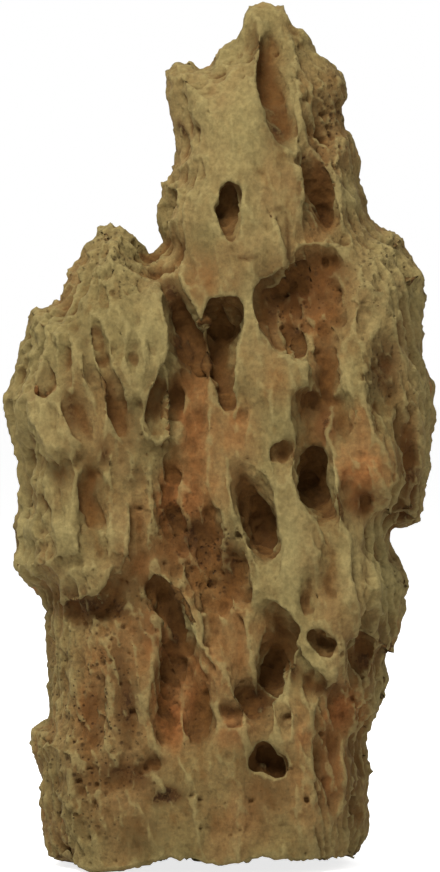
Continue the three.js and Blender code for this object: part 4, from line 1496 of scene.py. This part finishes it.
    @staticmethod
    def _normals(points: Array, faces: Array) -> Array:
        """Work out the direction that each point faces.

        Args:
            points: The points.
            faces: Quads, as rows of four point numbers.

        Returns:
            One unit vector for each point.
        """
        corner = points[faces]
        across = np.cross(corner[:, 2] - corner[:, 0], corner[:, 3] - corner[:, 1])
        total = np.zeros_like(points)
        for axis in range(3):
            weights = np.repeat(across[:, axis], 4)
            total[:, axis] = np.bincount(faces.ravel(), weights, len(points))
        return total / np.maximum(np.linalg.norm(total, axis=1, keepdims=True), 1e-9)

    def _roughen(self, points: Array, normals: Array) -> Array:
        """Cut scoops, hollows, grain and pores into the body.

        Args:
            points: The body's points.
            normals: The direction that each faces.

        Returns:
            The moved points.
        """
        x, y, z = points.T.astype(np.float32)
        facing_front, facing_back = (
            np.clip(way * normals[:, 1] * self.facing_gain - self.facing_loss, 0, 1)
            for way in (-1, 1))
        facing_side = 1 - facing_front - facing_back
        off_rim = smooth_step(*self.rim_depths, np.abs(y))
        pores = strongest(PORES, *seen(x, y, z)) * facing_front
        pores = pores + self.unseen_pores * (1 - facing_front)
        pores *= np.clip(self.pore_share + self.pore_swells.at(x, y, z), 0, 1)

        scooping = self.front_share * facing_front + self.back_share * facing_back + facing_side
        scooping *= blend(self.rim_share, off_rim)
        depth = self.round_scoops.at(x, y, z, scooping)
        hollowing = facing_side * self.side_hollow + facing_back * self.back_hollow
        hollowing = hollowing * blend(self.rim_hollow_share, off_rim)
        wide, deep, tall = self.hollow_spacing
        swing = x + GRAIN_LEAN * z
        nearest, owner = Noise(self.hollow_seed).cells(swing / wide, y / deep, z / tall)
        hollow = smooth_step(*self.hollow_wall, nearest) * blend(self.least_hollow, owner)
        depth += hollowing * hollow
        depth -= facing_side * (1 - off_rim) * self.rim_growth
        depth += np.abs(self.ridges.at(x, y, z))
        depth -= self.grit.at(x, y, z) * (self.least_grit + self.porous_grit * pores)
        for holes in self.pinholes:
            depth += holes.at(pores, x, y, z)
        depth *= np.clip(z / self.foot_calm, 0, 1)
        moved = points - normals * depth[:, None]
        return np.clip(moved, self.low + self.box_gap, self.high - self.box_gap)

    def build(self) -> bpy.types.Object:
        """Make the stone's object, cut to its number of faces, and dress it.

        Returns:
            The object, with its traits stored on its points.
        """
        points, quads = self._mesh_body()
        normals = self._normals(points, quads)
        points = self._roughen(points, normals)
        rough = bpy.data.meshes.new("stone_rough")
        rough.vertices.add(len(points))
        rough.vertices.foreach_set("co", (points * MM).astype(np.float32).ravel())
        rough.loops.add(quads.size)
        rough.loops.foreach_set("vertex_index", quads.astype(np.int32).ravel())
        rough.polygons.add(len(quads))
        rough.polygons.foreach_set("loop_start", np.arange(0, quads.size, 4, dtype=np.int32))
        rough.update(calc_edges=True)
        stone = bpy.data.objects.new("stone_surface", rough)
        bpy.context.scene.collection.objects.link(stone)
        thin = stone.modifiers.new("thin", "DECIMATE")
        thinning = stone.vertex_groups.new(name="thinning")
        backward = smooth_step(*self.thinning_facing, normals[:, 1])
        steps = np.round(blend(self.thinning_least, backward) * self.thinning_steps).astype(int)
        for step in range(1, self.thinning_steps + 1):
            chosen = np.flatnonzero(steps == step)
            thinning.add(chosen.tolist(), step / self.thinning_steps, "REPLACE")
        thin.vertex_group = thinning.name
        thin.vertex_group_factor = self.thinning_pull
        thin.ratio = self.faces / (2 * len(quads))
        thin.use_collapse_triangulate = True
        graph = bpy.context.evaluated_depsgraph_get()
        mesh = bpy.data.meshes.new_from_object(stone.evaluated_get(graph))
        stone.modifiers.clear()
        stone.data = mesh
        bpy.data.meshes.remove(rough)
        mesh.name = "stone_surface"
        mesh.shade_smooth()
        self._store_traits(mesh)
        mesh.materials.clear()
        mesh.materials.append(ClayStoneFinish().make())
        return stone

    def _store_traits(self, mesh: bpy.types.Mesh) -> None:
        """Store what the finish needs to know about each point.

        Args:
            mesh: The stone's mesh.
        """
        points, normals = np.empty((2, len(mesh.vertices) * 3), np.float32)
        mesh.vertices.foreach_get("co", points)
        mesh.vertices.foreach_get("normal", normals)
        points, normals = points.reshape(-1, 3) / MM, normals.reshape(-1, 3)
        edges = np.empty(len(mesh.edges) * 2, np.int32)
        mesh.edges.foreach_get("vertices", edges)
        edges = edges.reshape(-1, 2)
        x, y, z = points.T
        front = smooth_step(*self.front_facing, normals[:, 1]) * smooth_step(*self.front_reach, y)
        seen_x, seen_z = seen(x, np.minimum(y, 0), z)
        bent = self._bent(seen_x, seen_z, self.colour_bend)
        depth = np.where(y < 0, -self.front_relief.at(x, z), -self.back_relief.at(x, z))
        hollow = smooth_step(*self.hollow_levels, depth)
        blotch = self.blotches.at(x, y, z)
        rusty = hollow * (self.hollow_rust + blotch) + smooth_step(*self.rust_levels, blotch)
        soot = smooth_step(*self.soot_levels, self.soot.at(x, y, z)) * self.soot_cover
        # Soot blotches, and painted shade in the hollows.
        soot_and_shade = hollow * self.hollow_shade + soot
        pale = self.paleness + self.pale_swells.at(x, y, z)
        traits = {
            "rust": front * strongest(RUST, *bent) + (1 - front) * np.clip(rusty, 0, 1),
            # Front: the pale patches, pale clay and painted highlights; sides and back: pale clay
            # at random.
            "pale": front * strongest(PALE_AND_HIGHLIGHT, *bent) + (1 - front) * np.clip(pale, 0, 1),
            # Front: the dark patches, stain and painted shade; sides and back: soot blotches and
            # painted shade in the hollows.
            "stain_and_shade": front * strongest(STAIN_AND_SHADE, *bent) + (1 - front) * np.clip(soot_and_shade, 0, 1),
            "pores": front * strongest(PORES, seen_x, seen_z) + (1 - front) * self.unseen_pores,
            "depth": depth / self.full_depth,
            "cavity": self._cavity(points, normals, edges, *self.cavity_reading),
            "fold": self._cavity(points, normals, edges, *self.fold_reading),
        }
        for name, values in traits.items():
            layer = mesh.attributes.new(name, "FLOAT", "POINT")
            layer.data.foreach_set("value", values.astype(np.float32))

    @staticmethod
    def _cavity(points: Array, normals: Array, edges: Array, rounds: int, scale: float) -> Array:
        """Judge how hollow the surface is around each point.

        Args:
            points: The mesh's points.
            normals: The direction that each faces.
            edges: Pairs of neighbours.
            rounds: How often the surface is smoothed for the comparison.
            scale: The distance in millimetres that counts as 1.

        Returns:
            More than 0 in hollows, less than 0 on crests.
        """
        count = len(points)
        ends = np.concatenate((edges[:, 0], edges[:, 1]))
        others = np.concatenate((edges[:, 1], edges[:, 0]))
        friends = np.maximum(np.bincount(ends, minlength=count), 1)
        smooth = points.astype(np.float64)
        for _ in range(rounds):
            smooth = np.stack([np.bincount(ends, smooth[others, axis], count) / friends
                               for axis in range(3)], axis=1)
        return np.clip(((smooth - points) * normals).sum(axis=1) / scale, -2, 2)


# ---- The finish ----


def linear(*screen: int) -> tuple[float, float, float, float]:
    """Turn a screen colour into the linear one that a shader takes.

    Args:
        screen: Red, green and blue, each from 0 to 255.

    Returns:
        Red, green, blue and an alpha of 1.
    """
    shares = [channel / 255 for channel in screen]
    parts = [s / 12.92 if s <= 0.04045 else ((s + 0.055) / 1.055) ** 2.4 for s in shares]
    return (*parts, 1.0)


class Band(NamedTuple):
    """How one number follows another: from start at low, smoothly, to end at high."""

    low: float
    high: float
    start: float = 0.0
    end: float = 1.0


class Grain(NamedTuple):
    """Soft noise of one size in millimetres.

    The detail is how many finer layers it has, the rough is how strong those are, and the
    stretch is how much longer than wide its swells are, up the stone.
    """

    size: float
    detail: float
    rough: float
    stretch: float = 1.0


class Wiring:
    """A material's node tree, with short ways to add and join nodes."""

    def __init__(self, name: str) -> None:
        """Start a material.

        Args:
            name: Its name.
        """
        self.material = bpy.data.materials.new(name)
        self.material.use_nodes = True
        self.nodes = self.material.node_tree.nodes
        self.links = self.material.node_tree.links
        self.shader = self.nodes["Principled BSDF"]
        self.place = self.add("ShaderNodeTexCoord").outputs["Object"]

    def add(self, kind: str, **settings: object) -> bpy.types.Node:
        """Add a node.

        Args:
            kind: Blender's name for the node.
            settings: Values of its properties.

        Returns:
            The node.
        """
        node = self.nodes.new(kind)
        for key, value in settings.items():
            setattr(node, key, value)
        return node

    def feed(self, socket: bpy.types.NodeSocket, value: object) -> None:
        """Give a socket a link or a value.

        Args:
            socket: The socket.
            value: Another node's output, or a plain value.
        """
        if isinstance(value, bpy.types.NodeSocket):
            self.links.new(value, socket)
        else:
            socket.default_value = value

    def trait(self, name: str) -> bpy.types.NodeSocket:
        """Read a trait that is stored on the stone's points."""
        return self.add("ShaderNodeAttribute", attribute_name=name).outputs["Fac"]

    def math(self, work: str, first: object, second: object,
             clamp: bool = False) -> bpy.types.NodeSocket:
        """Work out a number.

        Args:
            work: Blender's name for the sum, such as MULTIPLY.
            first: The first number or output.
            second: The second.
            clamp: Whether to keep the result from 0 to 1.

        Returns:
            The result.
        """
        node = self.add("ShaderNodeMath", operation=work, use_clamp=clamp)
        self.feed(node.inputs[0], first)
        self.feed(node.inputs[1], second)
        return node.outputs[0]

    def times(self, first: object, second: object, clamp: bool = False) -> bpy.types.NodeSocket:
        """Multiply two numbers or outputs."""
        return self.math("MULTIPLY", first, second, clamp)

    def grain(self, grain: Grain) -> bpy.types.NodeSocket:
        """Lay soft noise over the stone.

        Args:
            grain: Its size and its detail.

        Returns:
            Noise from 0 to 1.
        """
        scaling = self.add("ShaderNodeMapping")
        self.feed(scaling.inputs["Vector"], self.place)
        scaling.inputs["Scale"].default_value = (1, 1, 1 / grain.stretch)
        noise = self.add("ShaderNodeTexNoise")
        self.feed(noise.inputs["Vector"], scaling.outputs[0])
        noise.inputs["Scale"].default_value = 1 / (grain.size * MM)
        noise.inputs["Detail"].default_value = grain.detail
        noise.inputs["Roughness"].default_value = grain.rough
        return noise.outputs["Fac"]

    def pits(self, spacing: float, widths: Band, walls: Band) -> bpy.types.NodeSocket:
        """Scatter round pits over the stone.

        Args:
            spacing: How far apart they are, in millimetres.
            widths: How a pit's width follows the chance that it is given.
            walls: How its depth follows the distance from its middle, as a share of the width.

        Returns:
            The depth, from 0 between the pits to 1 in their middles.
        """
        cells = self.add("ShaderNodeTexVoronoi", feature="F1")
        self.feed(cells.inputs["Vector"], self.place)
        cells.inputs["Scale"].default_value = 1 / (spacing * MM)
        chance = self.add("ShaderNodeSeparateColor")
        self.feed(chance.inputs[0], cells.outputs["Color"])
        width = self.ramp(chance.outputs[0], widths)
        return self.ramp(self.math("DIVIDE", cells.outputs["Distance"], width), walls)

    def ramp(self, value: object, band: Band) -> bpy.types.NodeSocket:
        """Carry one number over to another along a band.

        Args:
            value: The number or output.
            band: The band, whose own numbers may be outputs too.

        Returns:
            The result, which is held at the band's ends.
        """
        node = self.add("ShaderNodeMapRange", clamp=True, interpolation_type="SMOOTHSTEP")
        for index, part in enumerate((value, *band)):
            self.feed(node.inputs[index], part)
        return node.outputs["Result"]

    def mix(self, share: object, first: object, second: object,
            blend: str = "MIX") -> bpy.types.NodeSocket:
        """Mix two colours.

        Args:
            share: How much of the second, from 0 to 1.
            first: The first colour or output.
            second: The second.
            blend: How the second is laid over the first.

        Returns:
            The mixed colour.
        """
        node = self.add("ShaderNodeMix", data_type="RGBA", blend_type=blend)
        self.feed(node.inputs["Factor"], share)
        self.feed(node.inputs[6], first)
        self.feed(node.inputs[7], second)
        return node.outputs[2]


@dataclass(frozen=True)
class ClayStoneFinish:
    """Dry clay stone: olive tan, with a painted highlight on its pale crests and stain and painted
    shade in its rusty hollows.
    """

    olive: tuple = linear(115, 100, 60)
    tan: tuple = linear(117, 92, 54)
    umber: tuple = linear(97, 64, 28)
    pale: tuple = linear(138, 123, 78)
    rust: tuple = linear(138, 91, 49)
    red: tuple = linear(114, 64, 29)
    # The shade and deep colours are painted shade in hollows, clefts and pits, and dark stain too.
    shade: tuple = linear(68, 41, 13)
    deep: tuple = linear(46, 27, 10)

    # The mottling that everything else is laid on.
    broad: Grain = Grain(22, 3, 0.55, 1.6)
    middle: Grain = Grain(6, 4, 0.6, 1.5)
    fine: Grain = Grain(1.3, 4, 0.65)
    streak: Grain = Grain(5, 3, 0.6, 5)
    olive_to_tan: Band = Band(0.35, 0.65)
    umber_mottle: Band = Band(0.5, 0.75, 0, 0.55)
    pale_streaks: Band = Band(0.5, 0.72, 0, 0.35)

    # Soil and painted shade by depth, pale clay and painted highlights, rust, and stain and
    # painted shade, each broken up by a grain.
    soil_and_shade_by_depth: Band = Band(-0.1, 0.5, 0, 0.85)
    soil_and_shade_break: Band = Band(0.3, 0.55, 0.55, 1.0)
    pale_break: Band = Band(0.3, 0.6, 0.35, 0.9)
    rust_break: Band = Band(0.32, 0.6, 0.55, 1.0)
    rust_to_red: Band = Band(-0.3, 0.7)
    stain_and_shade_break: Band = Band(0.3, 0.6, 0.65, 1.1)
    stain_and_shade_cover: float = 0.92
    black_stain_and_shade: Band = Band(0.7, 0.95, 0, 0.8)
    bare_clay_and_highlight: Band = Band(0.7, 1.0, 0, 0.8)

    # Painted shade, with some soil, in the folds, cavities and deep hollows, and paler crests,
    # partly worn and partly a painted highlight.
    soil_and_shade_folds: Band = Band(0.05, 0.9, 0, 0.75)
    shaded_cavities: Band = Band(0.2, 1.4, 0, 0.5)
    shaded_folds: Band = Band(0.7, 2.0, 0, 0.45)
    shaded_deep_hollows: Band = Band(0.7, 2.0, 0, 0.5)
    pale_and_highlit_crests: Band = Band(-0.2, -1.1, 0, 0.55)
    crests_by_depth: Band = Band(0.2, 0.7, 1.0, 0.25)

    # Grit, and pits where the stone is porous, darkened with painted shade.
    grit: Band = Band(0.3, 0.7, 0.82, 1.17)
    porous_grit: float = 0.1
    pit_spacings: tuple[float, float] = (2.3, 1.3)
    pit_widths: Band = Band(0.35, 1.0, 0.02, 0.42)
    pit_walls: Band = Band(1.0, 0.3)
    pit_shade: float = 0.75

    # The sheen and the bumps.
    roughness: Band = Band(0.3, 0.7, 0.82, 0.97)
    specular: float = 0.13
    bump_strength: float = 0.7
    bump_height: float = 1.0
    ripples: Grain = Grain(2.6, 5, 0.65, 2.5)
    ripple_height: float = 1.1
    grains: Grain = Grain(0.7, 3, 0.6)
    grain_height: float = 0.25
    pit_depth: float = 0.5

    def make(self) -> bpy.types.Material:
        """Wire the material.

        Returns:
            The material.
        """
        wires = Wiring("clay_stone")
        rust, pale, stain_and_shade, pores = (
            wires.trait(name) for name in ("rust", "pale", "stain_and_shade", "pores"))
        cavity, fold, depth = (wires.trait(name) for name in ("cavity", "fold", "depth"))
        broad, middle, fine, streak = (
            wires.grain(grain) for grain in (self.broad, self.middle, self.fine, self.streak))

        colour = wires.mix(wires.ramp(broad, self.olive_to_tan), self.olive, self.tan)
        colour = wires.mix(wires.ramp(middle, self.umber_mottle), colour, self.umber)
        colour = wires.mix(wires.ramp(streak, self.pale_streaks), colour, self.pale)
        # Umber by depth: soil, and painted shade in the recesses.
        soil_and_shade = wires.times(
            wires.ramp(depth, self.soil_and_shade_by_depth), wires.ramp(middle, self.soil_and_shade_break))
        colour = wires.mix(soil_and_shade, colour, self.umber)
        # Pale clay, and painted highlights where the pale patches lie.
        paleness = wires.times(pale, wires.ramp(middle, self.pale_break))
        colour = wires.mix(paleness, colour, self.pale)
        rusting = wires.times(rust, wires.ramp(middle, self.rust_break), True)
        rusty = wires.mix(wires.ramp(fold, self.rust_to_red), self.rust, self.red)
        colour = wires.mix(rusting, colour, rusty)
        # Stain and painted shade, broken up by the fine grain; the strongest turn to the deep
        # colour.
        stain_and_shade_share = wires.times(stain_and_shade, wires.ramp(fine, self.stain_and_shade_break), True)
        colour = wires.mix(wires.times(stain_and_shade_share, self.stain_and_shade_cover), colour, self.shade)
        # Paler crests: partly worn clay, partly a painted highlight.
        crests = wires.times(
            wires.ramp(cavity, self.pale_and_highlit_crests), wires.ramp(depth, self.crests_by_depth))
        for share, tint in (
            (wires.ramp(stain_and_shade_share, self.black_stain_and_shade), self.deep),
            # The strongest pale patches turn fully pale: bare clay and painted highlights.
            (wires.ramp(pale, self.bare_clay_and_highlight), self.pale),
            # Umber in the folds is soil and painted shade; shade in cavities and folds, and deep by
            # depth, are painted shade.
            (wires.ramp(fold, self.soil_and_shade_folds), self.umber),
            (wires.ramp(cavity, self.shaded_cavities), self.shade),
            (wires.ramp(fold, self.shaded_folds), self.shade),
            (wires.ramp(depth, self.shaded_deep_hollows), self.deep),
            (crests, self.pale),
        ):
            colour = wires.mix(share, colour, tint)

        dark = wires.math("SUBTRACT", self.grit.start, wires.times(pores, self.porous_grit))
        speckle = wires.ramp(fine, self.grit._replace(start=dark))
        grey = wires.add("ShaderNodeCombineColor")
        for socket in grey.inputs:
            wires.feed(socket, speckle)
        colour = wires.mix(1.0, colour, grey.outputs[0], "MULTIPLY")
        wide, narrow = (
            wires.pits(spacing, self.pit_widths, self.pit_walls) for spacing in self.pit_spacings)
        # Painted shade: the pits where the stone is porous are darkened with the deep colour.
        pitting = wires.times(wires.math("MAXIMUM", wide, narrow), pores, True)
        colour = wires.mix(wires.times(pitting, self.pit_shade), colour, self.deep)

        height = wires.math("ADD", wires.times(wires.grain(self.ripples), self.ripple_height),
                            wires.times(wires.grain(self.grains), self.grain_height))
        height = wires.math("SUBTRACT", height, wires.times(pitting, self.pit_depth))
        bump = wires.add("ShaderNodeBump")
        bump.inputs["Strength"].default_value = self.bump_strength
        bump.inputs["Distance"].default_value = self.bump_height * MM
        wires.feed(bump.inputs["Height"], height)

        sockets = wires.shader.inputs
        wires.feed(sockets["Base Color"], colour)
        wires.feed(sockets["Roughness"], wires.ramp(middle, self.roughness))
        wires.feed(sockets["Normal"], bump.outputs[0])
        sockets["Specular IOR Level"].default_value = self.specular
        return wires.material


# ---- The studio ----


@dataclass(frozen=True)
class PaleFloorFinish:
    """A matt pale floor, with a glow that only the camera sees."""

    grey: tuple = (0.7, 0.7, 0.7, 1)
    glow: float = 0.78
    grain: Grain = Grain(40, 4, 0.55)
    roughness: Band = Band(0.3, 0.7, 0.6, 0.8)

    def make(self) -> bpy.types.Material:
        """Wire the material.

        Returns:
            The material.
        """
        wires = Wiring("pale_floor")
        sockets = wires.shader.inputs
        sockets["Base Color"].default_value = self.grey
        sockets["Emission Color"].default_value = (1, 1, 1, 1)
        to_camera = wires.add("ShaderNodeLightPath").outputs["Is Camera Ray"]
        wires.feed(sockets["Emission Strength"], wires.times(to_camera, self.glow))
        wires.feed(sockets["Roughness"], wires.ramp(wires.grain(self.grain), self.roughness))
        return wires.material


@dataclass(frozen=True)
class Lamp:
    """One soft light, aimed at the stone's middle."""

    name: str
    azimuth: float
    elevation: float
    distance: float
    size: float
    power: float


@dataclass
class Studio:
    """A pale floor and backdrop, soft lamps, and the camera."""

    view_height: float = 0.2529
    film_height: float = 36.0
    farthest: float = 50.0
    dome: float = 0.26
    half_floor: float = 6.0
    middle: Vector = field(default_factory=lambda: Vector((0.0, 0.0, MIDDLE_HEIGHT * MM)))
    lamps: tuple[Lamp, ...] = (
        Lamp("key", -28, 54, 1.3, 0.6, 22.6),
        Lamp("fill", 50, 30, 1.6, 1.4, 4.5),
        Lamp("back_left", -140, 40, 1.6, 1.2, 7.0),
        Lamp("back_right", 140, 40, 1.6, 1.2, 5.0),
    )

    def _towards(self, azimuth: float, elevation: float, distance: float) -> Vector:
        """Find a place around the stone.

        Args:
            azimuth: Degrees from the front, positive to the right.
            elevation: Degrees above the level.
            distance: Metres from the stone's middle.

        Returns:
            The place.
        """
        turn, tilt = math.radians(azimuth), math.radians(elevation)
        way = Vector((math.sin(turn) * math.cos(tilt), -math.cos(turn) * math.cos(tilt),
                      math.sin(tilt)))
        return self.middle + way * distance

    def _add(self, name: str, data: bpy.types.ID, place: Vector) -> bpy.types.Object:
        """Put a lamp or the camera in the scene, aimed at the stone's middle.

        Args:
            name: The object's name.
            data: Its lamp or camera.
            place: Where it stands.

        Returns:
            The object.
        """
        thing = bpy.data.objects.new(name, data)
        thing.location = place
        thing.rotation_euler = (self.middle - thing.location).to_track_quat("-Z", "Y").to_euler()
        bpy.context.scene.collection.objects.link(thing)
        return thing

    def build(self) -> None:
        """Lay the floor, hang the lamps and set up the camera."""
        self._lay_floor()
        for lamp in self.lamps:
            light = bpy.data.lights.new(lamp.name, "AREA")
            light.size = lamp.size
            light.energy = lamp.power
            self._add(lamp.name, light, self._towards(lamp.azimuth, lamp.elevation, lamp.distance))
        self._hang_backdrop()
        camera = bpy.data.cameras.new("camera")
        distance = EYE_DISTANCE * MM
        camera.sensor_width = self.film_height
        camera.lens = self.film_height * distance / self.view_height
        camera.clip_end = self.farthest
        place = self._towards(0, EYE_TILT, distance)
        bpy.context.scene.camera = self._add("camera", camera, place)

    def _lay_floor(self) -> None:
        """Lay a wide pale floor."""
        half = self.half_floor
        mesh = bpy.data.meshes.new("floor")
        corners = [(-half, -half, 0), (half, -half, 0), (half, half, 0), (-half, half, 0)]
        mesh.from_pydata(corners, [], [(0, 1, 2, 3)])
        mesh.materials.append(PaleFloorFinish().make())
        floor = bpy.data.objects.new("floor", mesh)
        bpy.context.scene.collection.objects.link(floor)

    def _hang_backdrop(self) -> None:
        """Surround the stone with white that the camera sees, and that lights it only dimly."""
        world = bpy.data.worlds.new("studio")
        world.use_nodes = True
        tree = world.node_tree
        backdrop = tree.nodes["Background"]
        backdrop.inputs["Color"].default_value = (1, 1, 1, 1)
        to_camera = tree.nodes.new("ShaderNodeLightPath").outputs["Is Camera Ray"]
        level = tree.nodes.new("ShaderNodeMapRange")
        level.inputs["To Min"].default_value = self.dome
        level.inputs["To Max"].default_value = 1.0
        tree.links.new(to_camera, level.inputs["Value"])
        tree.links.new(level.outputs["Result"], backdrop.inputs["Strength"])
        bpy.context.scene.world = world
        bpy.context.scene.view_settings.view_transform = "Standard"


def main() -> None:
    """Build the stone and its studio, in order."""
    logging.basicConfig(level=logging.INFO, format="%(name)s: %(message)s")
    stone = Stone().build()
    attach(stone, "root")
    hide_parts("stone")
    log.info("%s: %d faces", stone.name, len(stone.data.polygons))
    Studio().build()
    log.info("studio: floor, lamps and camera")
    bpy.context.view_layer.update()


if __name__ == "__main__":
    main()
